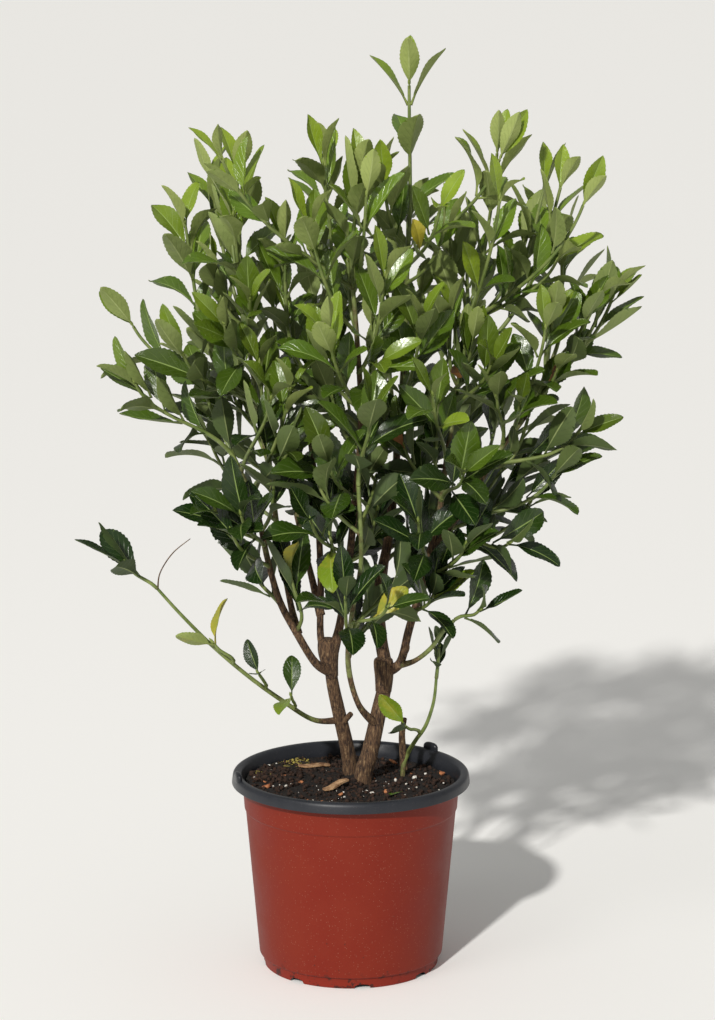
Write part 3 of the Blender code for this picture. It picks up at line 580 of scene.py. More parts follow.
SHOOTS = (
    Shoot("top", "leader", 1.0, (45, 10, 700), 4, 47, turn=-45, nodes=(0.24, 0.52, 0.88, 0.985)),
    Shoot("top_right", "leader", 0.86, (72, -6, 590), 2, 40, turn=20, bare=0.6),
    Shoot("crown_left", "inner", 1.0, (-21, 24, 638), 4, 45, turn=10),
    Shoot("crown_mid", "centre", 1.0, (6, -20, 628), 5, 46, turn=60, bare=0.1),
    Shoot("crown_back", "leader", 0.66, (20, 58, 618), 4, 45, turn=35, bare=0.4),
    Shoot("crown_front", "centre", 0.86, (-30, -52, 596), 4, 44, turn=25, bare=0.3),
    Shoot("left_outer", "left", 0.72, (-130, 42, 590), 5, 47, turn=15, bare=0.4),
    Shoot("left_tall", "left", 1.0, (-88, 20, 630), 5, 46, turn=75, bare=0.12),
    Shoot("left_mid", "inner", 0.74, (-52, 8, 578), 4, 42, turn=5, bare=0.4),
    Shoot("right_tall", "tall", 1.0, (113, 12, 648), 5, 44, turn=35, bare=0.15),
    Shoot("right_diagonal", "tall", 0.82, (162, 8, 622), 5, 42, turn=80, bare=0.3),
    Shoot("right_upper", "right", 1.0, (166, 40, 574), 4, 45, turn=25, bare=0.2),
    Shoot("right_far", "right", 0.90, (196, -14, 540), 4, 45, turn=40, bare=0.35),
    Shoot("right_round", "right", 0.82, (148, -52, 520), 3, 40, turn=70, bare=0.4),
    Shoot("right_side", "right", 0.68, (174, -36, 436), 4, 46, turn=0, bare=0.35),
    Shoot("right_low", "right", 0.46, (122, -44, 352), 3, 46, turn=85, bare=0.4),
    Shoot("right_dark", "right", 0.60, (131, 34, 436), 3, 42, turn=40, bare=0.4),
    Shoot("rosette", "tall", 0.26, (86, -72, 412), 4, 46, turn=50, bare=0.4),
    Shoot("lime", "tall", 0.42, (62, -84, 474), 4, 40, turn=10, bare=0.35),
    Shoot("right_mid", "tall", 0.62, (107, -48, 492), 4, 44, turn=85, bare=0.35),
    Shoot("crown_right", "tall", 0.90, (78, 40, 576), 3, 40, turn=25, bare=0.4),
    Shoot("centre_glossy", "leader", 0.40, (54, -40, 524), 4, 46, turn=70, bare=0.4),
    Shoot("centre_star", "centre", 0.66, (-16, -82, 518), 4, 42, turn=20, bare=0.4),
    Shoot("centre_long", "centre", 0.76, (26, -58, 560), 4, 44, turn=0, bare=0.3),
    Shoot("centre_low", "centre", 0.44, (-16, -66, 418), 3, 48, turn=60, bare=0.4),
    Shoot("centre_mid", "front", 1.0, (16, -98, 462), 4, 47, turn=35, bare=0.2),
    Shoot("left_bright", "far", 0.86, (-46, -58, 474), 4, 40, turn=80, bare=0.35),
    Shoot("left_inner", "left", 0.50, (-70, -24, 488), 4, 42, turn=15, bare=0.4),
    Shoot("left_far", "far", 1.0, (-166, -26, 474), 5, 44, turn=15, bare=0.35),
    Shoot("left_cluster", "far", 0.92, (-119, 22, 476), 4, 44, turn=50, bare=0.3),
    Shoot("left_low", "far", 0.66, (-84, -54, 376), 4, 48, turn=30, bare=0.3),
    Shoot("low_mid", "centre", 0.28, (-30, -62, 372), 3, 44, turn=75, bare=0.4),
    Shoot("low_right", "right", 0.36, (52, -62, 372), 4, 44, turn=45, bare=0.3),
    Shoot("front_low", "front", 0.46, (28, -66, 306), 2, 38, turn=15, bare=0.5),
    Shoot("right_branch", "low", 1.0, (100, -32, 296), 2, 40, turn=10, bare=0.4),
    Shoot("arch_end", "arch", 1.0, (-172, -42, 334), 2, 46, turn=60, bare=0.6),
    Shoot("arch_mid", "arch", 0.56, (-107, -26, 268), 1, 34, turn=20, bare=0.9),
    Shoot("arch_low", "arch", 0.38, (-72, -14, 240), 1, 27, turn=50, bare=0.5),
    Shoot("arch_root", "arch", 0.22, (-47, -6, 220), 1, 28, turn=10, bare=0.4),
    Shoot("side_top", "side_main", 1.0, (70, 2, 258), 3, 24, turn=30, bare=0.3),
    Shoot("side_low", "side_main", 0.42, (44, 0, 194), 1, 30, turn=80, bare=0.4),
    Shoot("back_left_top", "back_left", 1.0, (-64, 110, 536), 4, 47, turn=20, bare=0.2),
    Shoot("back_left_low", "back_left", 0.62, (-112, 88, 430), 4, 44, turn=65, bare=0.3),
    Shoot("back_left_mid", "left", 0.56, (-100, 84, 516), 4, 44, turn=40, bare=0.35),
    Shoot("back_right_top", "back_right", 1.0, (36, 116, 556), 4, 47, turn=50, bare=0.2),
    Shoot("back_right_low", "back_right", 0.56, (92, 104, 424), 4, 44, turn=10, bare=0.3),
    Shoot("back_right_mid", "back_right", 0.80, (92, 96, 510), 4, 44, turn=70, bare=0.3),
    Shoot("back_mid_low", "back_right", 0.50, (-4, 112, 446), 3, 46, turn=30, bare=0.4),
    Shoot("right_inner", "right", 0.74, (112, -46, 466), 3, 46, turn=60, bare=0.45),
    Shoot("left_back", "left", 0.36, (-112, 62, 412), 3, 46, turn=10, bare=0.45),
)

# Short young shoots that fill the bush between the others: tip in millimetres, and pairs of leaves.
FILLERS = (
    (-96, -61, 649, 4), (-95, 20, 611, 3), (26, -22, 623, 3), (45, 52, 596, 4), (114, -10, 645, 3),
    (112, -57, 618, 3), (141, 40, 590, 4), (-28, 66, 551, 3), (-2, -7, 566, 4), (157, -27, 568, 3),
    (-104, 25, 552, 3), (-77, -28, 539, 4), (-5, 51, 529, 3), (202, -3, 536, 3), (-96, -45, 522, 4),
    (-48, 38, 511, 3), (16, -13, 514, 3), (-98, 67, 480, 4), (-27, -7, 494, 3), (19, -60, 494, 3),
    (45, 33, 492, 4), (88, -14, 499, 3), (-95, 69, 453, 3), (-27, 9, 465, 4), (158, -32, 484, 3),
    (39, 33, 438, 3), (68, -16, 446, 4), (117, 60, 438, 3), (138, -8, 444, 3), (-48, -56, 427, 4),
    (17, 20, 418, 3), (42, -10, 421, 3), (70, 69, 409, 4), (-48, 1, 395, 3), (-25, -60, 403, 3),
    (-4, 40, 388, 4), (19, -18, 397, 3), (118, 69, 384, 3), (137, 8, 397, 4), (156, -27, 400, 3),
    (-5, 28, 366, 3), (20, -18, 372, 4), (117, 58, 360, 3), (139, -8, 375, 3), (-91, -60, 364, 4),
    (-16, -31, 355, 3), (11, 49, 332, 4), (88, -60, 354, 3), (-79, 31, 317, 4), (-47, -21, 324, 3),
    (20, 56, 309, 3), (42, 12, 317, 4), (-4, -62, 311, 3), (22, 28, 291, 3), (63, -27, 305, 4),
    (55, 63, 528, 3), (77, -5, 521, 3), (-61, -58, 466, 4), (-40, 36, 435, 3), (-172, 45, 509, 3),
    (170, 65, 553, 3), (-110, 65, 623, 4), (92, 65, 564, 4), (129, -55, 464, 3),
    (12, -55, 621, 3), (-103, -55, 379, 3), (25, 20, 419, 3), (64, 20, 350, 4), (67, -55, 610, 3),
    (-59, -30, 404, 3), (-19, 65, 636, 3), (150, 20, 620, 3), (154, -30, 520, 3), (-20, -30, 499, 3),
    (-89, -30, 603, 4), (94, -30, 507, 3), (175, -55, 614, 3), (-128, -30, 496, 3),
    (189, -30, 543, 3), (-12, -8, 370, 3), (-31, -30, 577, 4), (-88, 65, 449, 4), (-14, -30, 463, 3),
)



class Look(Enum):
    """How a marked leaf looks: its age, its painted shade, its fade and its share of a usual size."""

    LIME = (0.0, 0.0, 0.0, 1.0)
    BRIGHT = (0.35, 0.0, 0.0, 1.0)
    PALE = (0.45, 0.0, 0.26, 1.0)
    TURNING = (0.6, 0.1, 0.40, 1.0)
    YELLOW = (0.5, 0.1, 0.5, 0.9)
    DRY = (1.0, 0.5, 1.1, 0.7)


# Leaves that stand out: a place in millimetres, how many of the nearest leaves, and how they look.
MARKS = (
    (65, -84, 455, 1, Look.LIME), (29, -60, 297, 1, Look.YELLOW), (79, -30, 304, 1, Look.PALE),
    (-113, -25, 261, 1, Look.PALE), (-67, -10, 530, 1, Look.LIME), (82, -30, 556, 1, Look.LIME),
    (-46, -40, 356, 1, Look.TURNING), (-19, -40, 351, 1, Look.PALE), (20, -20, 456, 1, Look.DRY),
    (79, -30, 490, 1, Look.DRY), (154, -20, 503, 1, Look.DRY), (-47, -10, 224, 1, Look.PALE),
    (38, 0, 202, 1, Look.PALE), (-14, -82, 528, 5, Look.BRIGHT), (-35, -60, 478, 1, Look.LIME),
    (55, 0, 578, 1, Look.YELLOW), (0, -20, 651, 2, Look.LIME), (-86, 20, 646, 2, Look.LIME),
    (115, 12, 650, 2, Look.LIME), (-103, -25, 276, 1, Look.TURNING), (45, 10, 690, 2, Look.BRIGHT),
)

PETIOLE = 0.13
STEM_TIP_RADIUS = 1.25 * MM
CLEARANCE = 0.5 * MM


def along(route: list, share: float) -> tuple[Vector, Vector]:
    """A place on a route.

    Args:
        route: its points.
        share: how far along it, from 0 to 1.

    Returns:
        The point there and the direction onwards.
    """
    lengths = [(b - a).length for a, b in zip(route, route[1:])]
    left = share * sum(lengths)
    for a, b, length in zip(route, route[1:], lengths):
        if left <= length or b is route[-1]:
            return a.lerp(b, min(left / length, 1.0)), (b - a).normalized()
        left -= length
    raise ValueError("a route needs two points")


@dataclass(frozen=True)
class Branching:
    """Where the wood and the shoots run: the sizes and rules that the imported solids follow."""

    stem_span: float = 36.0 * MM
    stem_swell: float = 0.12 * MM
    stem_pull: float = 0.35
    stem_start_room: float = 1.1
    spur_angle: float = math.radians(52)
    spur_out: float = 2.6 * MM
    spur_stoutness: float = 1.25

    def limb(self, name: str) -> Limb:
        """The limb with this name."""
        return next(limbs[name] for limbs in TRUNKS.values() if name in limbs)

    def limb_route(self, limb: Limb) -> list[Vector]:
        """A limb's points in metres."""
        return [Vector(point) * MM for point in limb.points]

    def limb_radius(self, limb: Limb, share: float) -> float:
        """A limb's radius this share of the way along."""
        return linear_mix(*limb.radii, share) * MM

    def shoot_radii(self, shoot: Shoot) -> tuple[float, float]:
        """A stem's radius where it starts, which is more for each pair of leaves, and at its tip."""
        return STEM_TIP_RADIUS + self.stem_swell * shoot.pairs, STEM_TIP_RADIUS

    def shoot_start(self, shoot: Shoot) -> tuple[Vector, Vector, Vector]:
        """Where a shoot leaves its limb.

        Args:
            shoot: the shoot.

        Returns:
            The limb's axis point, the shoot's first point and its direction there.
        """
        limb = self.limb(shoot.limb)
        axis, onward = along(self.limb_route(limb), shoot.at)
        if shoot.at >= 1.0:
            return axis, axis + onward * GAP, onward
        outward = Vector(shoot.tip) * MM - axis
        outward -= onward * outward.dot(onward)
        sideways = outward.normalized() * math.sin(self.spur_angle)
        direction = (sideways + onward * math.cos(self.spur_angle)).normalized()
        length = self.limb_radius(limb, shoot.at) + self.spur_out
        return axis, axis + direction * (length + GAP), direction

    def bent_route(self, shoot: Shoot, start: Vector, direction: Vector, span: float) -> list[Vector]:
        """A smooth bend from the start's direction to a rising tip.

        Args:
            shoot: the shoot, which gives the tip.
            start: the first point.
            direction: the direction there.
            span: the distance between points.

        Returns:
            The points of the bend.
        """
        tip = Vector(shoot.tip) * MM
        reach = (tip - start).length
        rising = ((tip - start).normalized() * (1 - shoot.rise) + UP * shoot.rise).normalized()
        first = start + direction * reach * self.stem_pull
        second = tip - rising * reach * self.stem_pull
        count = max(2, round(reach / span))
        route = []
        for i in range(count + 1):
            t = i / count
            u = 1 - t
            route.append(start * u**3 + first * 3 * u * u * t + second * 3 * u * t * t + tip * t**3)
        return route

    def shoot_route(self, shoot: Shoot, span: float | None = None) -> list[Vector]:
        """A shoot's points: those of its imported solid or, with a shorter span, finer ones on the same bend."""
        _, start, direction = self.shoot_start(shoot)
        onward = self.bent_route(shoot, start, direction, self.stem_span)[1] - start
        slant = onward.normalized().cross(direction).length
        out = self.shoot_radii(shoot)[0] * slant * self.stem_start_room
        return self.bent_route(shoot, start + direction * out, direction, span or self.stem_span)


@dataclass(frozen=True)
class LeafForm:
    """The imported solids' leaf: a folded, arched blade of few faces, which finds where each leaf has room."""

    thickness: float = 1.2 * MM
    root_half_width: float = 0.5 * MM
    root_depth: float = 0.8 * MM
    edge_rows: tuple = (0.35, 0.60, 0.83)
    midrib_row: float = 0.50
    tooth: float = 0.05
    outline_power: float = 0.72
    wave_turn: float = 9.0
    wave_lag: float = 1.3

    def half_width(self, s: float, blade: Blade) -> float:
        """Half the blade's width at s of the leaf's length, as a share of half its greatest."""
        t = max(s - PETIOLE, 0.0) / (1 - PETIOLE)
        return math.sin(math.pi * min(t, 1.0) ** blade.belly) ** self.outline_power

    def midrib_point(self, s: float, length: float, blade: Blade) -> tuple[Vector, Vector]:
        """A point of the midrib's arc, and the direction square to it on the upper side."""
        angle = blade.bend * s
        y = length * math.sin(angle) / blade.bend
        z = -length * (1 - math.cos(angle)) / blade.bend
        return Vector((0.0, y, z)), Vector((0.0, math.sin(angle), math.cos(angle)))

    def edge_point(self, s: float, side: int, length: float, width: float, blade: Blade) -> Vector:
        """A point of the blade's edge, lifted by the fold and the wave."""
        middle, square = self.midrib_point(s, length, blade)
        reach = self.half_width(s, blade) * width / 2
        wave = blade.wave * length * math.sin(self.wave_turn * s + self.wave_lag * side)
        lift = reach * math.sin(blade.fold) + wave
        return middle + Vector((side * reach * math.cos(blade.fold), 0.0, 0.0)) + square * lift

    def strip(self, near: list, far: list) -> list[tuple]:
        """Triangles between two chains of (place, vertex) that share their last vertex."""
        faces = []
        i = j = 0
        while i < len(near) - 1 or j < len(far) - 1:
            if j == len(far) - 1 or (i < len(near) - 1 and near[i + 1][0] < far[j + 1][0]):
                face = (near[i][1], near[i + 1][1], far[j][1])
                i += 1
            else:
                face = (near[i][1], far[j + 1][1], far[j][1])
                j += 1
            if len(set(face)) == 3:
                faces.append(face)
        return faces

    def tree(self, length: float, width: float, blade: Blade, root: float, matrix: Matrix) -> BVHTree:
        """A leaf swollen by the clearance that leaves keep, for tests of whether two would touch.

        Args:
            length: the leaf's length.
            width: its width.
            blade: its shape.
            root: the share of its length that is left off at the root.
            matrix: its placing.

        Returns:
            The swollen leaf's tree.
        """
        points: list[Vector] = []

        def add(point: Vector) -> int:
            """Keeps a point and gives its number."""
            points.append(point)
            return len(points) - 1

        swell = CLEARANCE
        middle, square = self.midrib_point(root, length, blade)
        reach = self.root_half_width + swell
        sides = {side: add(middle + Vector((side * reach, 0, swell))) for side in (-1, 1)}
        keel = add(middle - square * (self.root_depth + swell))
        middle, square = self.midrib_point(self.midrib_row, length, blade)
        half = self.thickness / 2 + swell
        upper = add(middle + square * half)
        lower = add(middle - square * half)
        tip = (1.0, add(self.midrib_point(1.0, length + swell, blade)[0]))
        faces = [(sides[1], sides[-1], keel), (sides[-1], sides[1], upper)]
        for side in (-1, 1):
            edge = [(root, sides[side])]
            for row, s in enumerate(self.edge_rows):
                tooth = 1 + self.tooth * (1 if (row + (side > 0)) % 2 else -1)
                edge.append((s, add(self.edge_point(s, side, length, width * tooth + 2 * swell, blade))))
            edge.append(tip)
            faces.extend(self.strip([(self.midrib_row, upper), tip], edge))
            faces.extend(self.strip([(root, keel), (self.midrib_row, lower), tip], edge))
        return BVHTree.FromPolygons([matrix @ point for point in points], faces)


@dataclass
class Leaf:
    """A placed leaf: its placing, its length and width in metres, which blade it is and its pair."""

    matrix: Matrix
    length: float
    width: float
    kind: int
    place: float
    look: tuple | None = None

    def centre(self) -> Vector:
        """The middle of the leaf."""
        return self.matrix @ Vector((0.0, self.length / 2, 0.0))


class Room:
    """Everything placed so far, which a new leaf has to clear."""

    def __init__(self) -> None:
        """Starts empty."""
        self.taken: list[tuple] = []

    def is_clear(self, centre: Vector, radius: float, whole: BVHTree, short: BVHTree, owner: str) -> bool:
        """Whether a leaf touches nothing.

        Args:
            centre: the middle of the leaf.
            radius: its reach from there.
            whole: the leaf, nearly whole, for a test with other shoots.
            short: the leaf short of its root, for a test with its own shoot's leaves.
            owner: the shoot's name.

        Returns:
            True where it has room.
        """
        for other_centre, other_radius, other_whole, other_short, other_owner in self.taken:
            if (centre - other_centre).length > radius + other_radius:
                continue
            if other_owner != owner and whole.overlap(other_whole):
                return False
            if other_owner == owner and other_short and short.overlap(other_short):
                return False
        return True

    def add_stem(self, route: list, radius: float, owner: str) -> None:
        """Takes up the room of a stem, as one swollen square rod for each of its spans."""
        reach = (radius + CLEARANCE) * math.sqrt(2)
        for start, end in zip(route, route[1:]):
            turn = (end - start).to_track_quat("Z", "Y").to_matrix()
            diamond = ((reach, 0, 0), (0, reach, 0), (-reach, 0, 0), (0, -reach, 0))
            corners = [turn @ Vector(corner) for corner in diamond]
            points = [start + corner for corner in corners] + [end + corner for corner in corners]
            faces = [(k, (k + 1) % 4, 4 + (k + 1) % 4, 4 + k) for k in range(4)]
            rod = BVHTree.FromPolygons(points, [*faces, (3, 2, 1, 0), (4, 5, 6, 7)])
            self.taken.append(((start + end) / 2, (end - start).length / 2 + reach, rod, None, owner))


@dataclass(frozen=True)
class Phyllotaxy:
    """How leaves stand on a shoot: in opposite pairs, each square to the one below, as in the solids."""

    leans: tuple = (43, 18)
    lean_curve: float = 1.4
    least_lean: float = 14
    lean_spread: tuple = (-30, 34)
    lean_play: float = 0.15
    turn_spread: float = 75
    pair_spread: float = 9
    twist_spread: float = 24
    widths: tuple = (0.50, 0.41)
    spread: tuple = (0.92, 1.08)
    length_scale: float = 1.06
    top_share: float = 0.985
    node_curve: float = 0.9
    leaf_rise: float = 0.12
    face_rise: float = 0.25
    shrink: float = 0.4
    hull_share: float = 0.62
    whole_from: float = 0.07
    short_from: float = 0.16
    root_out: float = 0.4
    tries: int = 40

    def pair_share(self, shoot: Shoot, pair: int) -> float:
        """How far along its stem a pair of leaves grows."""
        if shoot.nodes:
            return shoot.nodes[pair]
        if shoot.pairs == 1:
            return self.top_share
        return linear_mix(shoot.bare, self.top_share, (pair / (shoot.pairs - 1)) ** self.node_curve)

    def pair_size(self, shoot: Shoot, pair: int, place: float) -> float:
        """A pair's size: the middle pairs are the longest and the top one the shortest."""
        return 0.86 + 0.24 * math.sin(math.pi * (pair + 0.7) / (shoot.pairs + 0.6)) - 0.12 * place**3

    def try_leaf(self, room: Room, shoot: Shoot, route: list, share: float, bearing: float, angle: float,
                 length: float, width: float, place: float, rng: random.Random) -> Leaf | None:
        """A leaf near its wanted place, turned or shortened a little where that clears its neighbours.

        Args:
            room: what stands already.
            shoot: the leaf's shoot.
            route: the shoot's points.
            share: how far along the leaf grows.
            bearing: its turn about the stem.
            angle: its lean from the stem.
            length: its wanted length.
            width: its wanted width.
            place: its pair's place on the shoot, from 0 to 1.
            rng: the shoot's own draws.

        Returns:
            The leaf, or None where no try has room.
        """
        for attempt in range(self.tries):
            loose = attempt / self.tries
            shrink = 1.0 if attempt < self.tries // 2 else 1.0 - self.shrink * (loose - 0.5)
            turned = bearing + math.radians(rng.uniform(-self.turn_spread, self.turn_spread)) * loose
            leaning = angle + math.radians(rng.uniform(*self.lean_spread)) * (self.lean_play + loose)
            leaning = max(leaning, math.radians(self.least_lean))
            twist = math.radians(rng.uniform(-self.twist_spread, self.twist_spread)) * (1 + loose)
            kind = rng.randrange(len(BLADES))
            point, onward = along(route, share)
            side = Matrix.Rotation(turned, 3, onward) @ onward.orthogonal().normalized()
            point = point + side * linear_mix(*BRANCHING.shoot_radii(shoot), share) * self.root_out
            direction = (onward * math.cos(leaning) + side * math.sin(leaning)).normalized()
            direction = (direction + UP * self.leaf_rise).normalized()
            face = onward + UP * self.face_rise
            face = Matrix.Rotation(twist, 3, direction) @ (face - direction * face.dot(direction))
            across = direction.cross(face).normalized()
            square = across.cross(direction)
            turn = Matrix((across, direction, square)).transposed().to_4x4()
            leaf = Leaf(Matrix.Translation(point) @ turn, length * shrink, width * shrink, kind, place)
            centre = point + direction * leaf.length / 2
            whole, short = (
                LEAF_FORM.tree(leaf.length, leaf.width, BLADES[kind], root, leaf.matrix)
                for root in (self.whole_from, self.short_from)
            )
            hull = leaf.length * self.hull_share
            if room.is_clear(centre, hull, whole, short, shoot.name):
                room.taken.append((centre, hull, whole, short, shoot.name))
                return leaf
        return None

    def grown_leaves(self, shoot: Shoot, room: Room) -> list[Leaf]:
        """The shoot's leaves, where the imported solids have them.

        Args:
            shoot: the shoot.
            room: what stands already.

        Returns:
            The placed leaves.
        """
        rng = random.Random(f"{SEED} {shoot.name}")
        route = BRANCHING.shoot_route(shoot)
        leaves = []
        for pair in range(shoot.pairs):
            place = pair / max(shoot.pairs - 1, 1)
            share = self.pair_share(shoot, pair)
            angle = math.radians(linear_mix(*self.leans, place**self.lean_curve))
            size = self.length_scale * shoot.leaf * MM * self.pair_size(shoot, pair, place)
            for side in (0, 1):
                play = rng.uniform(-self.pair_spread, self.pair_spread)
                bearing = math.radians(shoot.turn + 90 * pair + 180 * side + play)
                length = size * rng.uniform(*self.spread)
                width = length * linear_mix(*self.widths, place) * rng.uniform(*self.spread)
                leaf = self.try_leaf(room, shoot, route, share, bearing, angle, length, width, place, rng)
                if leaf:
                    leaves.append(leaf)
        return leaves


@dataclass(frozen=True)
class Filling:
    """How short shoots find the wood that they grow from: the nearest limb that lets them rise."""

    lowest: float = 0.22
    steps: int = 16
    usual_reach: float = 52.0 * MM
    least_rise: float = 0.55
    skipped: tuple = ("left_main", "right_main", "arch", "side_main", "low")

    def shoot(self, number: int, tip: tuple, pairs: int) -> Shoot:
        """A short shoot from the best place on the wood.

        Args:
            number: its number.
            tip: its tip in millimetres.
            pairs: how many pairs of leaves it has.

        Returns:
            The shoot.
        """
        end = Vector(tip) * MM
        best = (math.inf, "", 0.0)
        for limbs in TRUNKS.values():
            for name, limb in limbs.items():
                if name in self.skipped:
                    continue
                route = BRANCHING.limb_route(limb)
                for step in range(self.steps):
                    share = linear_mix(self.lowest, 0.97, step / (self.steps - 1))
                    way = end - along(route, share)[0]
                    rise = way.z / way.length
                    cost = abs(way.length - self.usual_reach) + max(0.0, self.least_rise - rise) * 150 * MM
                    best = min(best, (cost, name, share))
        leaf = 38 + 9 * ((number * 7) % 5) / 4
        return Shoot(f"fill_{number:02d}", best[1], best[2], tip, pairs, leaf, turn=(number * 53) % 90, bare=0.3)


BRANCHING = Branching()
LEAF_FORM = LeafForm()
FILLING = Filling()
PHYLLOTAXY = Phyllotaxy()
YOUNG_PHYLLOTAXY = Phyllotaxy(leans=(36, 14), least_lean=10)


class Kind(Enum):
    """What stands on a shoot, by the first number of its shapes in the leaf collection."""

    LEAF = 0
    BUD = 12


def new_object(name: str, mesh: bpy.types.Mesh, *materials: bpy.types.Material) -> bpy.types.Object:
    """An object in the scene with these materials."""
    obj = bpy.data.objects.new(name, mesh)
    bpy.context.scene.collection.objects.link(obj)
    mesh.materials.clear()
    for material in materials:
        mesh.materials.append(material)
    return obj


def hand_in(obj: bpy.types.Object, slot: str, *nodes: str) -> None:
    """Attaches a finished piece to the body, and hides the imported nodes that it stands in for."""
    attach(obj, BODY)
    if nodes:
        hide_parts(*nodes)
    LOG.info("%s: %d faces", obj.name, len(obj.data.polygons))


def set_attribute(mesh: bpy.types.Mesh, name: str, kind: str, domain: str, values: np.ndarray) -> None:
    """Writes an attribute of a mesh.

    Args:
        mesh: the mesh.
        name: the attribute's name.
        kind: its type, such as FLOAT.
        domain: what it is on, such as POINT.
        values: one value, or one vector, for each element.
    """
    attribute = mesh.attributes.new(name, kind, domain)
    field = "vector" if kind == "FLOAT_VECTOR" else "value"
    attribute.data.foreach_set(field, np.asarray(values).ravel())


@dataclass(frozen=True)
class FineBlade:
    """A leaf in detail, one long and one wide: a toothed edge, a sunk midrib, veins and a short stalk."""

    rows: int = 28
    columns: tuple = (0.10, 0.52, 1.0)
    thickness: float = 0.008
    edge_thin: float = 0.35
    stalk: float = 0.034
    tooth: float = 0.045
    tooth_from: float = 0.26
    vein_lift: float = 0.0035
    veins: float = 7.5
    vein_slope: float = 0.30
    keel: float = 0.014
    ratio: float = 0.5
    base_to: float = 0.5
    base_slim: float = 0.34
    slim: float = 0.88

    def surface(self, s: float, c: float, blade: Blade, teeth: int) -> tuple[Vector, Vector]:
        """A point of the upper side.

        Args:
            s: how far along the leaf.
            c: how far out from the midrib, from -1 to 1.
            blade: the leaf's shape.
            teeth: which of two rhythms its teeth follow.

        Returns:
            The point, across in widths and otherwise in lengths, and the direction square to the midrib.
        """
        middle, square = LEAF_FORM.midrib_point(s, 1.0, blade)
        reach = self.slim * LEAF_FORM.half_width(s, blade) / 2
        reach *= 1 - self.base_slim * max(0.0, 1 - s / self.base_to) ** 1.2
        side = 1 if c > 0 else -1
        out = abs(c)
        if out == 1.0 and s > self.tooth_from:
            row = round(s * self.rows)
            reach *= 1 + self.tooth * (1 if (row + teeth) % 2 else -0.6)
        reach = max(reach, self.stalk * (1.0 if s < 0.5 else max(0.0, 1 - s) * 8))
        flat = reach * self.ratio
        wave = blade.wave * math.sin(LEAF_FORM.wave_turn * s + LEAF_FORM.wave_lag * side) * out**1.6
        lift = flat * math.sin(blade.fold) * out**1.25 + wave * min(1.0, flat * 10)
        phase = math.tau * (s - self.vein_slope * out**0.85) * self.veins
        bulge = self.vein_lift * math.cos(phase) * math.sin(math.pi * min(out, 1.0)) * min(1.0, flat * 6)
        across = Vector((c * reach * math.cos(blade.fold), 0.0, 0.0))
        return middle + across + square * (lift + bulge), square

    def mesh(self, name: str, blade: Blade, teeth: int) -> bpy.types.Mesh:
        """Builds the leaf, its root at the origin and its tip towards +Y.

        Args:
            name: the mesh's name.
            blade: the leaf's shape.
            teeth: which of two rhythms its teeth follow.

        Returns:
            The closed mesh, with a leaf map and a mark on the faces of its upper side.
        """
        columns = [-c for c in reversed(self.columns)] + [0.0] + list(self.columns)
        wide = len(columns)
        points: list[Vector] = []
        maps: list[tuple] = []
        above = []
        below = []
        for row in range(self.rows):
            s = row / self.rows
            top_row = []
            low_row = []
            for c in columns:
                point, square = self.surface(s, c, blade, teeth)
                if c == 0.0:
                    point = point - square * 0.004
                top_row.append(len(points))
                points.append(point)
                maps.append((0.5 + 0.5 * c, s))
            for j, c in enumerate(columns):
                if abs(c) == 1.0:
                    low_row.append(top_row[j])
                    continue
                point, square = self.surface(s, c, blade, teeth)
                thin = self.thickness * (1 - self.edge_thin * abs(c))
                rib = self.keel * (1 - 0.75 * s) * max(0.0, 1 - abs(c) * 9)
                stalk = self.stalk * 0.45 * max(0.0, 1 - s / PETIOLE / 1.4)
                low_row.append(len(points))
                points.append(point - square * (thin + rib + stalk * (1 - abs(c))))
                maps.append((0.5 + 0.5 * c, s))
            above.append(top_row)
            below.append(low_row)
        tip = len(points)
        points.append(LEAF_FORM.midrib_point(1.0, 1.0, blade)[0])
        maps.append((0.5, 1.0))
        faces = []
        marks = []
        for side, rows in ((1.0, above), (0.0, below)):
            for a, b in zip(rows, rows[1:]):
                for j in range(wide - 1):
                    quad = (a[j], a[j + 1], b[j + 1], b[j])
                    faces.append(quad if side else quad[::-1])
                    marks.append(side)
            for j in range(wide - 1):
                fan = (rows[-1][j], rows[-1][j + 1], tip)
                faces.append(fan if side else fan[::-1])
                marks.append(side)
        faces.append(tuple(below[0][j] for j in range(wide)) + tuple(above[0][j] for j in range(wide - 2, 0, -1)))
        marks.append(0.0)
        mesh = bpy.data.meshes.new(name)
        mesh.from_pydata(points, [], faces)
        layer = mesh.uv_layers.new(name="UVMap")
        for loop in mesh.loops:
            layer.data[loop.index].uv = maps[loop.vertex_index]
        set_attribute(mesh, "upper", "FLOAT", "FACE", np.array(marks))
        rims = {frozenset((rows[j], after[j])) for rows, after in zip(above, above[1:]) for j in (0, wide - 1)}
        sharp = [frozenset(edge.vertices) in rims for edge in mesh.edges]
        set_attribute(mesh, "sharp_edge", "BOOLEAN", "EDGE", np.array(sharp))
        mesh.polygons.foreach_set("use_smooth", [True] * len(mesh.polygons))
        return mesh


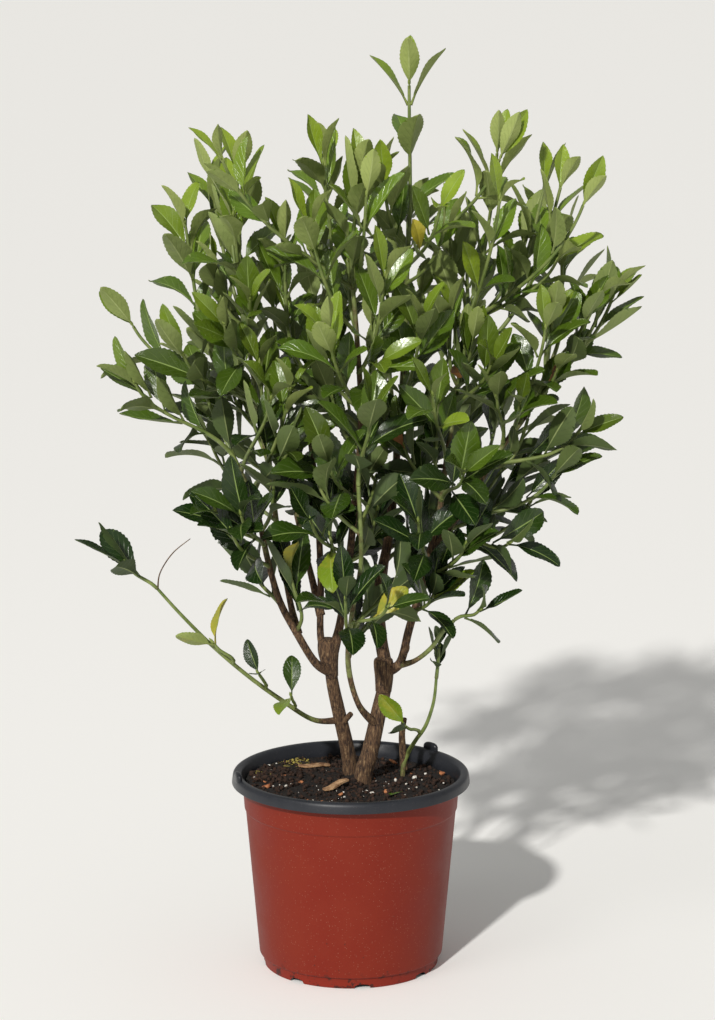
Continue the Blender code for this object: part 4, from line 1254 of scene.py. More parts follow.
def capped_rings(name: str, start: tuple, rings: list, end: tuple) -> bpy.types.Mesh:
    """A closed mesh through rings of points, all of one length, between two end points.

    Args:
        name: the mesh's name.
        start: the first end point.
        rings: the rings in order, each turning from X towards Z about the way from start to end.
        end: the last end point.

    Returns:
        The smooth-shaded mesh, with an empty leaf map.
    """
    sides = len(rings[0])
    points = [start, *(point for ring in rings for point in ring), end]
    faces = []
    last = len(points) - 1
    for k in range(sides):
        after = (k + 1) % sides
        faces.append((0, 1 + k, 1 + after))
        for ring in range(len(rings) - 1):
            a = 1 + ring * sides
            faces.append((a + k, a + sides + k, a + sides + after, a + after))
        a = 1 + (len(rings) - 1) * sides
        faces.append((a + k, last, a + after))
    mesh = bpy.data.meshes.new(name)
    mesh.from_pydata(points, [], faces)
    mesh.uv_layers.new(name="UVMap")
    set_attribute(mesh, "upper", "FLOAT", "FACE", np.full(len(faces), 0.4))
    mesh.polygons.foreach_set("use_smooth", [True] * len(faces))
    return mesh


def bud_mesh(name: str, rings: int = 7, sides: int = 8) -> bpy.types.Mesh:
    """A resting bud of pointed scales, one long and one wide, its root at the origin and its tip towards +Y."""
    route = []
    for ring in range(1, rings):
        t = ring / rings
        reach = 0.5 * math.sin(math.pi * t**0.75) ** 0.8 * (1 - 0.1 * (ring % 2))
        angles = [math.tau * k / sides for k in range(sides)]
        route.append([(reach * math.cos(angle), t, reach * math.sin(angle)) for angle in angles])
    return capped_rings(name, (0.0, -0.05, 0.0), route, (0.0, 1.05, 0.0))


def lump_mesh(name: str, rings: int, sides: int, squareness: float, dents: float, seed: int) -> bpy.types.Mesh:
    """A lump, one across.

    Args:
        name: the mesh's name.
        rings: how many steps there are from end to end.
        sides: how many sides it has.
        squareness: 1 for a ball, and less for a box with rounded corners.
        dents: how deep its dents are, as a share of its size.
        seed: which dents it has.

    Returns:
        The closed mesh.
    """
    def bent(value: float) -> float:
        """A sine or cosine pushed towards its ends."""
        return math.copysign(abs(value) ** squareness, value)

    def dented(x: float, y: float, z: float) -> Vector:
        """A point of the lump with its dent."""
        point = Vector((x, y, z)) * 0.5
        return point * (1 + dents * noise.noise(point * 3.3 + Vector((seed, 0.0, 0.0))))

    route = []
    for ring in range(1, rings):
        polar = math.pi * (ring / rings - 0.5)
        reach = bent(math.cos(polar))
        angles = [math.tau * (k + 0.5) / sides for k in range(sides)]
        route.append([dented(reach * bent(math.cos(a)), bent(math.sin(polar)), reach * bent(math.sin(a)))
                      for a in angles])
    return capped_rings(name, dented(0.0, -1.0, 0.0), route, dented(0.0, 1.0, 0.0))


def strand_mesh(name: str, bow: float) -> bpy.types.Mesh:
    """A thin bowed strand, one long towards +Y and one thick."""
    route = []
    for ring in range(6):
        t = ring / 5
        middle = (bow * math.sin(math.pi * t), t - 0.5, bow * 0.6 * math.sin(math.tau * t))
        reach = 0.5 * (0.55 + 0.45 * math.sin(math.pi * t))
        route.append([(middle[0] + reach * math.cos(math.tau * k / 3), middle[1],
                       middle[2] + reach * math.sin(math.tau * k / 3)) for k in range(3)])
    return capped_rings(name, (0.0, -0.53, 0.0), route, (0.0, 0.53, 0.0))


def leaf_collection() -> bpy.types.Collection:
    """The shapes that stand on shoots, in the order that their numbers say."""
    shapes = bpy.data.collections.new("leaf_shapes")
    fine = FineBlade()
    meshes = [fine.mesh(f"shape_{2 * i + teeth:02d}", blade, teeth) for i, blade in enumerate(BLADES) for teeth in (0, 1)]
    meshes.append(bud_mesh(f"shape_{Kind.BUD.value:02d}"))
    for mesh in meshes:
        shapes.objects.link(bpy.data.objects.new(mesh.name, mesh))
    return shapes


class Matter(Enum):
    """Loose matter on the compost, by the number of its shape in the litter collection."""

    CRUMB = 0
    GRAIN = 1
    FLAKE = 2
    STRAND = 3
    CURL = 4
    LEAF = 5


def litter_collection() -> bpy.types.Collection:
    """The shapes of loose matter, in the order that their numbers say."""
    shapes = bpy.data.collections.new("litter_shapes")
    for mesh in (
        lump_mesh("litter_0", 4, 6, 1.0, 0.9, 1), lump_mesh("litter_1", 5, 7, 0.9, 0.35, 2),
        lump_mesh("litter_2", 6, 8, 0.45, 0.5, 3), strand_mesh("litter_3", 0.0), strand_mesh("litter_4", 0.14),
        FineBlade().mesh("litter_5", BLADES[2], 0),
    ):
        shapes.objects.link(bpy.data.objects.new(mesh.name, mesh))
    return shapes


@dataclass
class Plan:
    """What a plant piece is grown from: lines of wood and the places of what stands on them."""

    points: list
    edges: list
    radius: list
    youth: list
    leafy: list
    kind: list
    turn: list
    size: list
    age: list
    tint: list
    fade: list

    @classmethod
    def empty(cls) -> Plan:
        """A plan with nothing on it."""
        return cls(*([] for _ in range(11)))

    def add_line(self, route: list, radii: list, youth: list) -> None:
        """Adds a line of wood.

        Args:
            route: its points.
            radii: its radius at each point.
            youth: how young and green it is at each point.
        """
        first = len(self.points)
        for point, radius, young in zip(route, radii, youth):
            self.add_point(point, radius, young, False, 0, (0, 0, 0), (1, 1, 1), 1.0, 0.5, 0.0)
        self.edges.extend((k, k + 1) for k in range(first, first + len(route) - 1))

    def add_point(self, point: Vector, radius: float, young: float, leafy: bool, kind: int, turn: tuple,
                  size: tuple, age: float, tint: float, fade: float) -> None:
        """Adds a point of wood, or the place of a leaf or bud.

        Args:
            point: the place.
            radius: the wood's radius.
            young: how young the wood is.
            leafy: whether something stands here.
            kind: which shape stands here.
            turn: its turn, in radians about X, Y and Z.
            size: its width, length and thickness in metres.
            age: from 0, new, to 1, grown.
            tint: how dark it is drawn, from 0 to 1: on leaves mostly painted shade that grows lower in the bush, with
                some random tone; on loose matter only a random tone.
            fade: from 0, green, over yellow to 1, brown.
        """
        self.points.append(point)
        for values, value in zip(
            (self.radius, self.youth, self.leafy, self.kind, self.turn, self.size, self.age, self.tint, self.fade),
            (radius, young, leafy, kind, turn, size, age, tint, fade),
        ):
            values.append(value)

    def mesh(self, name: str) -> bpy.types.Mesh:
        """The plan as a mesh of edges and loose points, with everything as attributes."""
        mesh = bpy.data.meshes.new(name)
        mesh.from_pydata(self.points, self.edges, [])
        for key, kind, values in (
            ("radius", "FLOAT", self.radius), ("youth", "FLOAT", self.youth), ("leafy", "BOOLEAN", self.leafy),
            ("kind", "INT", self.kind), ("turn", "FLOAT_VECTOR", self.turn), ("size", "FLOAT_VECTOR", self.size),
            ("age", "FLOAT", self.age), ("tint", "FLOAT", self.tint), ("fade", "FLOAT", self.fade),
        ):
            set_attribute(mesh, key, kind, "POINT", np.array(values))
        return mesh


class Grower:
    """Turns a plan into a piece with Geometry Nodes: round wood along its lines, and leaves at its points."""

    def __init__(self, shapes: bpy.types.Collection) -> None:
        """Builds the tree for these leaf shapes."""
        self.shapes = shapes
        self.group = bpy.data.node_groups.new("growth", "GeometryNodeTree")
        face = self.group.interface
        face.new_socket("Plan", in_out="INPUT", socket_type="NodeSocketGeometry")
        self.inputs = {
            name: face.new_socket(name, in_out="INPUT", socket_type=kind).identifier
            for name, kind in (
                ("Shapes", "NodeSocketCollection"), ("Wood", "NodeSocketMaterial"), ("Leaf", "NodeSocketMaterial"),
                ("Sides", "NodeSocketInt"), ("Span", "NodeSocketFloat"), ("Roughness", "NodeSocketFloat"),
                ("Seed", "NodeSocketInt"),
            )
        }
        face.new_socket("Piece", in_out="OUTPUT", socket_type="NodeSocketGeometry")
        self.build(Tree(self.group))

    def named(self, tree: Tree, name: str, kind: str = "FLOAT") -> bpy.types.NodeSocket:
        """The value of one of the plan's attributes."""
        node = tree.add("GeometryNodeInputNamedAttribute", {"Name": name}, data_type=kind)
        return node.outputs["Attribute"]

    def build(self, tree: Tree) -> None:
        """Builds the nodes.

        Args:
            tree: the empty tree.
        """
        into = tree.add("NodeGroupInput").outputs
        leafy = self.named(tree, "leafy", "BOOLEAN")
        apart = tree.add("GeometryNodeSeparateGeometry", {"Geometry": into["Plan"], "Selection": leafy})
        lines = tree.add("GeometryNodeMeshToCurve", {"Mesh": apart.outputs["Inverted"]}).outputs["Curve"]
        lines = tree.add("GeometryNodeCurveSplineType", {"Curve": lines}, spline_type="CATMULL_ROM").outputs["Curve"]
        lines = tree.add("GeometryNodeResampleCurve", {"Curve": lines, "Length": into["Span"]}, mode="LENGTH")
        lines = tree.add("GeometryNodeSetCurveRadius", {"Curve": lines.outputs["Curve"], "Radius": self.named(tree, "radius")})
        profile = tree.add("GeometryNodeCurvePrimitiveCircle", {"Resolution": into["Sides"], "Radius": 1.0})
        wood = tree.add("GeometryNodeCurveToMesh", {
            "Curve": lines.outputs["Curve"], "Profile Curve": profile.outputs["Curve"],
            "Scale": self.named(tree, "radius"), "Fill Caps": True,
        })
        place = tree.add("GeometryNodeInputPosition").outputs["Position"]
        drawn = tree.add("ShaderNodeVectorMath", {0: place, 1: (1.0, 1.0, 0.3)}, operation="MULTIPLY")
        moved = tree.add("ShaderNodeVectorMath", {0: drawn.outputs["Vector"]}, operation="ADD")
        offset = tree.add("ShaderNodeCombineXYZ", {"X": into["Seed"]})
        tree.tree.links.new(offset.outputs["Vector"], moved.inputs[1])
        bumps = tree.noise(moved.outputs["Vector"], 420.0, 3.0, 0.6)
        centred = tree.math("SUBTRACT", bumps, 0.5)
        push = tree.math("MULTIPLY", tree.math("MULTIPLY", centred, into["Roughness"]), self.named(tree, "radius"))
        normal = tree.add("GeometryNodeInputNormal").outputs["Normal"]
        shift = tree.add("ShaderNodeVectorMath", {0: normal}, operation="SCALE")
        tree.tree.links.new(push, shift.inputs["Scale"])
        wood = tree.add("GeometryNodeSetPosition", {"Geometry": wood.outputs["Mesh"], "Offset": shift.outputs["Vector"]})
        wood = tree.add("GeometryNodeSetShadeSmooth", {"Geometry": wood.outputs["Geometry"], "Shade Smooth": True})
        places = tree.add("GeometryNodeMeshToPoints", {"Mesh": apart.outputs["Selection"]}).outputs["Points"]
        shapes = tree.add("GeometryNodeCollectionInfo", {"Collection": into["Shapes"], "Separate Children": True,
                                                        "Reset Children": True})
        turn = tree.add("FunctionNodeEulerToRotation", {"Euler": self.named(tree, "turn", "FLOAT_VECTOR")})
        stands = tree.add("GeometryNodeInstanceOnPoints", {
            "Points": places, "Instance": shapes.outputs["Instances"], "Pick Instance": True,
            "Instance Index": self.named(tree, "kind", "INT"), "Rotation": turn.outputs["Rotation"],
            "Scale": self.named(tree, "size", "FLOAT_VECTOR"),
        })
        marked = tree.add("GeometryNodeStoreNamedAttribute", {
            "Geometry": stands.outputs["Instances"], "Name": "of_leaf", "Value": 1.0,
        }, data_type="FLOAT", domain="INSTANCE")
        both = tree.add("GeometryNodeJoinGeometry")
        for part in (marked.outputs["Geometry"], wood.outputs["Geometry"]):
            tree.tree.links.new(part, both.inputs["Geometry"])
        real = tree.add("GeometryNodeRealizeInstances", {"Geometry": both.outputs["Geometry"]})
        dressed = tree.add("GeometryNodeSetMaterial", {"Geometry": real.outputs["Geometry"], "Material": into["Wood"]})
        leafed = tree.add("GeometryNodeSetMaterial", {
            "Geometry": dressed.outputs["Geometry"], "Material": into["Leaf"], "Selection": self.named(tree, "of_leaf"),
        })
        tree.add("NodeGroupOutput", {"Piece": leafed.outputs["Geometry"]})

    def grow(self, name: str, plan: Plan, wood: bpy.types.Material, leaf: bpy.types.Material, sides: int,
             span: float, roughness: float) -> bpy.types.Object:
        """Grows a piece.

        Args:
            name: the piece's name.
            plan: what it is grown from.
            wood: the finish of its wood.
            leaf: the finish of its leaves.
            sides: how many sides its wood has.
            span: the distance between the wood's rings.
            roughness: how much the bark stands up, as a share of the radius.

        Returns:
            The piece, as a plain mesh.
        """
        guide = new_object(name + "_plan", plan.mesh(name + "_plan"))
        modifier = guide.modifiers.new("growth", "NODES")
        modifier.node_group = self.group
        for key, value in (("Shapes", self.shapes), ("Wood", wood), ("Leaf", leaf), ("Sides", sides),
                           ("Span", span), ("Roughness", roughness), ("Seed", SEED)):
            modifier[self.inputs[key]] = value
        graph = bpy.context.evaluated_depsgraph_get()
        mesh = bpy.data.meshes.new_from_object(guide.evaluated_get(graph))
        bpy.data.objects.remove(guide, do_unlink=True)
        mesh.name = name
        obj = bpy.data.objects.new(name, mesh)
        bpy.context.scene.collection.objects.link(obj)
        return obj


# Pruned ends and dry twigs on each stem: points in millimetres, each with its radius.
STUMPS = {
    "trunk_left": (
        ((-15, 21, 230, 5.0), (-17, 19, 242, 7.0), (-18, 18, 252, 8.4), (-18.5, 18, 260, 7.8), (-18.5, 18, 262, 5.5)),
        ((-9, 28, 187, 2.8), (-5, 26, 192, 2.5), (0, 21, 199, 2.2)),
        ((-150, -34, 313, 0.7), (-148, -36, 327, 0.5), (-138, -38, 343, 0.45), (-124, -40, 355, 0.3)),
    ),
    "trunk_right": (
        ((26, 12, 220, 6.4), (26.5, 12, 232, 7.4), (26, 12, 243, 7.9), (26, 12, 247, 7.0), (26, 12, 248, 5.0)),
        ((39, 6, 247, 2.6), (44, 2, 256, 2.2), (45, 1, 260, 1.8)),
    ),
    "side_stem": (((43, 27, 152, 3.4), (42, 24, 166, 3.0), (41, 21, 182, 2.6), (43, 18, 196, 2.0)),),
}


@dataclass
class Wood:
    """The three woody stems, with their forks and spurs."""

    grower: Grower
    bark: bpy.types.Material
    leaf: bpy.types.Material
    depth: float = 26.0 * MM
    soil_top: float = 146.0 * MM
    collar: float = 1.45
    young_radius: float = 2.4 * MM

    def youth(self, radius: float) -> float:
        """How young and green the wood of this radius is."""
        return max(0.0, min(1.0, 1.25 - radius / self.young_radius))

    def plan(self, name: str) -> Plan:
        """The lines of one woody stem.

        Args:
            name: the stem's name.

        Returns:
            Its plan.
        """
        plan = Plan.empty()
        for number, limb in enumerate(TRUNKS[name].values()):
            route = BRANCHING.limb_route(limb)
            shares = [i / (len(route) - 1) for i in range(len(route))]
            radii = [BRANCHING.limb_radius(limb, share) for share in shares]
            if number == 0:
                route.insert(0, Vector((route[0].x, route[0].y, self.soil_top - self.depth + GAP)))
                radii.insert(0, radii[0] * 1.1)
            else:
                radii[0] *= self.collar
            plan.add_line(route, radii, [self.youth(radius) for radius in radii])
        for shoot in SHOOTS:
            if shoot.at >= 1.0 or shoot.limb not in TRUNKS[name]:
                continue
            axis, start, direction = BRANCHING.shoot_start(shoot)
            end = BRANCHING.shoot_route(shoot)[0] - direction * GAP
            radius = BRANCHING.shoot_radii(shoot)[0]
            radii = [radius * BRANCHING.spur_stoutness, radius * 1.1, radius * 1.2]
            route = [axis, axis.lerp(end, 0.7), end]
            plan.add_line(route, radii, [self.youth(radius)] * 3)
        for stump in STUMPS[name]:
            route = [Vector(point[:3]) * MM for point in stump]
            plan.add_line(route, [point[3] * MM for point in stump], [0.0] * len(stump))
        return plan

    def build(self) -> None:
        """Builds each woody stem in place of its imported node."""
        for name in TRUNKS:
            piece = self.grower.grow("wood_" + name, self.plan(name), self.bark, self.leaf, 16, 1.6 * MM, 0.75)
            hand_in(piece, "bark", name)


@dataclass
class Foliage:
    """The leafy shoots."""

    grower: Grower
    stem: bpy.types.Material
    leaf: bpy.types.Material
    room: Room
    shade_below: float = 385.0 * MM
    sun_above: float = 645.0 * MM
    mark_depth: float = 0.35

    def mark(self, leaves: list[Leaf]) -> None:
        """Gives the leaves nearest to each marked place its look.

        Args:
            leaves: all the leaves.
        """
        for *place, count, look in MARKS:
            away = [leaf.centre() - Vector(place) * MM for leaf in leaves]
            costs = [math.hypot(way.x, way.z) + self.mark_depth * abs(way.y) for way in away]
            for index in sorted(range(len(leaves)), key=costs.__getitem__)[:count]:
                leaves[index].look = look.value

    def fill_room(self) -> None:
        """Takes up the room of all the wood and of every stem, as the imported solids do."""
        for limbs in TRUNKS.values():
            for limb in limbs.values():
                self.room.add_stem(BRANCHING.limb_route(limb), BRANCHING.limb_radius(limb, 0.0), "wood")
        for shoot in SHOOTS:
            axis, start, _ = BRANCHING.shoot_start(shoot)
            radius = BRANCHING.shoot_radii(shoot)[0]
            self.room.add_stem([axis, start], radius * BRANCHING.spur_stoutness, "wood")
            self.room.add_stem(BRANCHING.shoot_route(shoot), radius, shoot.name)

    def add_shoot(self, plan: Plan, shoot: Shoot, leaves: list[Leaf]) -> None:
        """Adds the stem and leaves of one shoot.

        Args:
            plan: the plan of the piece that it belongs to.
            shoot: the shoot.
            leaves: its placed leaves.
        """
        rng = random.Random(f"{SEED} looks {shoot.name}")
        route = BRANCHING.shoot_route(shoot, 6.0 * MM)
        count = len(route)
        radii = [linear_mix(*BRANCHING.shoot_radii(shoot), i / (count - 1)) for i in range(count)]
        plan.add_line(route, radii, [0.55 + 0.45 * i / (count - 1) for i in range(count)])
        for leaf in leaves:
            # Painted shade and light: the lower a leaf sits, the darker it is drawn, and the higher, the paler. Young
            # lime colour goes to a shoot's top pairs only as far as the leaf is high, so it is partly real young growth
            # and partly painted light.
            height = (leaf.centre().z - self.shade_below) / (self.sun_above - self.shade_below)
            lit = max(0.0, min(1.0, height))
            age = 1.0 - 0.8 * leaf.place**2 * lit - 0.25 * lit * rng.random()
            tint = max(0.0, min(1.0, 1.0 - lit + rng.uniform(-0.3, 0.3)))
            share = 1.0
            fade = 0.0
            if leaf.look:
                age, tint, fade, share = leaf.look
            turn = tuple(leaf.matrix.to_euler())
            kind = 2 * leaf.kind + rng.randrange(2)
            size = (leaf.width * share, leaf.length * share, leaf.length * share)
            plan.add_point(leaf.matrix.translation, 0.0, 1.0, True, kind, turn, size, age, tint, fade)
        tip, onward = along(route, 1.0)
        turn = tuple(onward.to_track_quat("Y", "Z").to_euler())
        plan.add_point(tip, 0.0, 1.0, True, Kind.BUD.value, turn, (0.0026, 0.0065, 0.0026), 0.2, 0.5, 0.0)

    def grow(self, name: str, plan: Plan, *nodes: str) -> None:
        """Grows one piece of foliage, attaches it to the body and hides the imported nodes it stands in for."""
        piece = self.grower.grow(name, plan, self.stem, self.leaf, 8, 3.0 * MM, 0.12)
        hand_in(piece, "leaf", *nodes)

    def build(self) -> None:
        """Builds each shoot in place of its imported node, and then the short ones between them."""
        self.fill_room()
        grown = [(shoot, PHYLLOTAXY.grown_leaves(shoot, self.room)) for shoot in SHOOTS]
        fillers = [FILLING.shoot(number, tip, pairs) for number, (*tip, pairs) in enumerate(FILLERS)]
        young = [(shoot, YOUNG_PHYLLOTAXY.grown_leaves(shoot, self.room)) for shoot in fillers]
        self.mark([leaf for _, leaves in grown + young for leaf in leaves])
        for shoot, leaves in grown:
            plan = Plan.empty()
            self.add_shoot(plan, shoot, leaves)
            self.grow("leafy_" + shoot.name, plan, "shoot_" + shoot.name)
        plans: dict[str, Plan] = {}
        for shoot, leaves in young:
            plan = plans.setdefault(shoot.limb, Plan.empty())
            axis, _, direction = BRANCHING.shoot_start(shoot)
            spur = [axis, BRANCHING.shoot_route(shoot)[0] + direction * MM]
            radius = BRANCHING.shoot_radii(shoot)[0]
            plan.add_line(spur, [radius * BRANCHING.spur_stoutness, radius], [0.3, 0.6])
            self.add_shoot(plan, shoot, leaves)
        for limb, plan in plans.items():
            self.grow("young_growth_" + limb, plan)
        LOG.info("leaves: %d and %d", *(sum(len(leaves) for _, leaves in part) for part in (grown, young)))


def turned_shell(name: str, profile: list, segments: int) -> bpy.types.Mesh:
    """A closed profile turned about the Z axis.

    Args:
        name: the mesh's name.
        profile: (radius, height) points from the axis round to the axis, the solid on their left.
        segments: how many steps make the turn.

    Returns:
        The mesh, with one vertex where the profile meets the axis.
    """
    points = []
    rings = []
    for radius, height in profile:
        if radius < 1e-9:
            rings.append([len(points)] * segments)
            points.append((0.0, 0.0, height))
            continue
        rings.append(list(range(len(points), len(points) + segments)))
        points.extend((radius * math.cos(math.tau * k / segments), radius * math.sin(math.tau * k / segments), height)
                      for k in range(segments))
    faces = []
    for a, b in zip(rings, rings[1:]):
        for k in range(segments):
            after = (k + 1) % segments
            face = tuple(dict.fromkeys((a[k], b[k], b[after], a[after])))
            if len(face) > 2:
                faces.append(face)
    mesh = bpy.data.meshes.new(name)
    mesh.from_pydata(points, [], faces)
    return mesh


def eased(profile: list, steps: int = 4) -> list:
    """A profile with rounded corners.

    Args:
        profile: (radius, height, ease) points, where ease is how far back from the corner its curve starts.
        steps: how many spans each curve has.

    Returns:
        The (radius, height) points.
    """
    route = []
    for i, (x, z, ease) in enumerate(profile):
        if not ease:
            route.append((x, z))
            continue
        corner = Vector((x, z))
        before = Vector(profile[i - 1][:2]) - corner
        after = Vector(profile[i + 1][:2]) - corner
        start = corner + before.normalized() * min(ease, before.length * 0.45)
        end = corner + after.normalized() * min(ease, after.length * 0.45)
        for step in range(steps + 1):
            t = step / steps
            point = start * (1 - t) ** 2 + corner * 2 * t * (1 - t) + end * t * t
            route.append((point.x, point.y))
    return route


@dataclass
class Pot:
    """The nursery pot: a thin formed shell with a rolled lip, a stacking step and a set-in foot."""

    outside: bpy.types.Material
    inside: bpy.types.Material
    rim_radius: float = 95.0 * MM
    height: float = 158.0 * MM
    lip_band: float = 8.5 * MM
    wall_top_radius: float = 86.4 * MM
    wall_foot_radius: float = 73.5 * MM
    wall_foot_z: float = 9.6 * MM
    step_z: float = 128.0 * MM
    step_out: float = 1.0 * MM
    step_radius: float = 84.0 * MM
    wall: float = 1.6 * MM
    foot_radius: float = 70.0 * MM
    foot_width: float = 9.4 * MM
    floor_rise: float = 5.0 * MM
    pad_radius: float = 29.4 * MM
    segments: int = 168
    lug_bearings: tuple = (195.0, 45.0)

    def profile(self) -> list:
        """The section, from the middle of the underside round the outside, over the lip and back inside."""
        lip_low = self.height - self.lip_band
        foot = self.foot_radius
        inner_foot = self.wall_foot_radius - 2 * self.wall
        inner_step = self.step_radius - self.wall
        return eased([
            (0.0, 0.0, 0), (self.pad_radius, 0.0, 0.8 * MM), (self.pad_radius + 1.2 * MM, self.floor_rise, 0.8 * MM),
            (foot - self.foot_width - 1.2 * MM, self.floor_rise, 0.8 * MM), (foot - self.foot_width, 0.0, 0.8 * MM),
            (foot, 0.0, 1.2 * MM), (foot + 0.6 * MM, self.wall_foot_z - 1.2 * MM, 0.5 * MM),
            (self.wall_foot_radius, self.wall_foot_z, 0.9 * MM),
            (self.step_radius, self.step_z, 0.5 * MM),
            (self.step_radius + self.step_out, self.step_z + 1.2 * MM, 0.6 * MM),
            (self.wall_top_radius, lip_low, 0.8 * MM),
            (self.rim_radius - 2.4 * MM, self.height - 3.2 * MM, 2.0 * MM),
            (self.rim_radius - 1.5 * MM, lip_low + 0.4 * MM, 0.4 * MM),
            (self.rim_radius, lip_low, 0.6 * MM), (self.rim_radius - 1.0 * MM, self.height, 3.4 * MM),
            (self.rim_radius - 7.4 * MM, self.height, 2.6 * MM), (self.wall_top_radius - self.wall, lip_low, 2.0 * MM),
            (inner_step, self.step_z, 0.6 * MM), (inner_foot, self.floor_rise + self.wall, 2.0 * MM),
            (self.pad_radius, self.floor_rise + self.wall, 0.8 * MM),
            (self.pad_radius - self.wall, self.wall, 0.8 * MM), (0.0, self.wall, 0),
        ])[::-1]

    def cutters(self) -> bpy.types.Collection:
        """The notches through the foot ring and the drain holes."""
        helpers = bpy.data.collections.new("helpers")
        bpy.context.scene.collection.children.link(helpers)
        for k in range(8):
            angle = math.tau * (k + 1 / 6) / 8
            turn = Matrix.Rotation(angle, 4, "Z") @ Matrix.Translation((self.foot_radius - self.foot_width / 2, 0, 0))
            helpers.objects.link(self.arch("notch", (18.8 * MM, 13.0 * MM, 7.2 * MM), turn))
        for k in range(4):
            angle = math.tau * (k + 0.5) / 4
            turn = Matrix.Rotation(angle, 4, "Z") @ Matrix.Translation((45.0 * MM, 0, 4.0 * MM))
            helpers.objects.link(self.bar("drain", (7.2 * MM, 7.2 * MM, 14.0 * MM), turn))
        return helpers

    def bar(self, name: str, size: tuple, matrix: Matrix) -> bpy.types.Object:
        """A block of this size with its place in its mesh."""
        corners = [Vector((x, y, z)) for x in (-0.5, 0.5) for y in (-0.5, 0.5) for z in (-0.5, 0.5)]
        points = [matrix @ Vector(tuple(a * b for a, b in zip(corner, size))) for corner in corners]
        faces = [(0, 1, 3, 2), (4, 6, 7, 5), (0, 4, 5, 1), (2, 3, 7, 6), (0, 2, 6, 4), (1, 5, 7, 3)]
        mesh = bpy.data.meshes.new(name)
        mesh.from_pydata(points, [], faces)
        return bpy.data.objects.new(name, mesh)

    def arch(self, name: str, size: tuple, matrix: Matrix, steps: int = 8) -> bpy.types.Object:
        """A block with a rounded top, this deep, wide and high, with its place in its mesh."""
        deep, wide, high = size
        edge = [(wide / 2, -high / 2)]
        for step in range(steps + 1):
            angle = math.pi * step / steps
            edge.append((wide / 2 * math.cos(angle), high / 2 * math.sin(angle) ** 0.6))
        edge.append((-wide / 2, -high / 2))
        points = [matrix @ Vector((x, y, z)) for x in (-deep / 2, deep / 2) for y, z in edge]
        count = len(edge)
        faces = [tuple(reversed(range(count))), tuple(range(count, 2 * count))]
        faces += [(k, (k + 1) % count, count + (k + 1) % count, count + k) for k in range(count)]
        mesh = bpy.data.meshes.new(name)
        mesh.from_pydata(points, [], faces)
        return bpy.data.objects.new(name, mesh)

    def add_lugs(self) -> None:
        """Builds the rounded lugs that stand on the rim, for parting nested pots."""
        mesh = lump_mesh("rim_lugs", 14, 20, 0.75, 0.0, 0)
        ring = [vertex.co.copy() for vertex in mesh.vertices]
        faces = [tuple(polygon.vertices) for polygon in mesh.polygons]
        points = []
        for bearing in self.lug_bearings:
            turn = Matrix.Rotation(math.radians(bearing), 4, "Z")
            place = turn @ Matrix.Translation((self.rim_radius - 2.8 * MM, 0.0, self.height + 0.4 * MM))
            points += [place @ Vector((p.x * 5.0 * MM, p.y * 15.0 * MM, p.z * 10.0 * MM)) for p in ring]
        both = faces + [tuple(v + len(ring) for v in face) for face in faces]
        mesh.clear_geometry()
        mesh.from_pydata(points, [], both)
        mesh.polygons.foreach_set("use_smooth", [True] * len(both))
        hand_in(new_object("rim_lugs", mesh, self.inside), "pot_plastic")

    def build(self) -> None:
        """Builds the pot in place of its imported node."""
        mesh = turned_shell("nursery_pot", self.profile(), self.segments)
        pot = new_object("nursery_pot", mesh, self.outside, self.inside)
        helpers = self.cutters()
        modifier = pot.modifiers.new("openings", "BOOLEAN")
        modifier.operation = "DIFFERENCE"
        modifier.operand_type = "COLLECTION"
        modifier.collection = helpers
        modifier.solver = "MANIFOLD"
        graph = bpy.context.evaluated_depsgraph_get()
        cut = bpy.data.meshes.new_from_object(pot.evaluated_get(graph))
        pot.modifiers.remove(modifier)
        pot.data = cut
        for helper in list(helpers.objects):
            bpy.data.objects.remove(helper, do_unlink=True)
        bpy.data.collections.remove(helpers)
        lip_low = self.height - self.lip_band
        for face in cut.polygons:
            centre = face.center
            radius = math.hypot(centre.x, centre.y)
            outward = face.normal.x * centre.x + face.normal.y * centre.y
            inner = outward < 0 and radius > 60 * MM or face.normal.z > 0.5 and centre.z < 20 * MM
            face.material_index = int(centre.z > lip_low - 0.4 * MM or inner)
        cut.polygons.foreach_set("use_smooth", [True] * len(cut.polygons))
        cut.set_sharp_from_angle(angle=math.radians(38))
        hand_in(pot, "pot_plastic", "pot")
        self.add_lugs()


@dataclass
class Soil:
    """The compost: a bumpy surface that is mounded on the left, with crumbs, fibres and grains on it."""

    peat: bpy.types.Material
    top: float = 146.0 * MM
    radius: float = 83.6 * MM
    foot_radius: float = 69.0 * MM
    floor: float = 7.2 * MM
    mound_rise: float = 4.0 * MM
    segments: int = 150
    rings: int = 46

    def height(self, x: float, y: float) -> float:
        """The surface at a place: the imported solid's broad shape with crumbs on it."""
        bumps = math.sin(x * 190 + 1.0) * math.cos(y * 230 - 0.4) + 0.7 * math.sin(x * 90 - y * 140 + 2.0)
        bearing = math.radians(190.0)
        towards = (x * math.cos(bearing) + y * math.sin(bearing)) / (73.5 * MM)
        broad = self.top + 1.6 * MM * bumps / 1.7 + self.mound_rise * max(towards, 0.0) ** 2
        crumbs = noise.fractal(Vector((x, y, 0.3)) * 260, 0.6, 2.2, 5)
        return broad + 1.3 * MM * crumbs

    def build(self) -> None:
        """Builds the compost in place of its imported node."""
        profile = [(self.radius * (ring / self.rings) ** 0.85, self.top) for ring in range(self.rings + 1)]
        profile += [(self.radius - 1.0 * MM, self.top - 14 * MM), (self.foot_radius, self.floor), (0.0, self.floor)]
        mesh = turned_shell("compost", profile, self.segments)
        for vertex in mesh.vertices:
            if vertex.co.z > self.top - MM:
                vertex.co.z = self.height(vertex.co.x, vertex.co.y)
        mesh.flip_normals()
        mesh.polygons.foreach_set("use_smooth", [True] * len(mesh.polygons))
        soil = new_object("compost", mesh, self.peat)
        hand_in(soil, "soil", "soil")


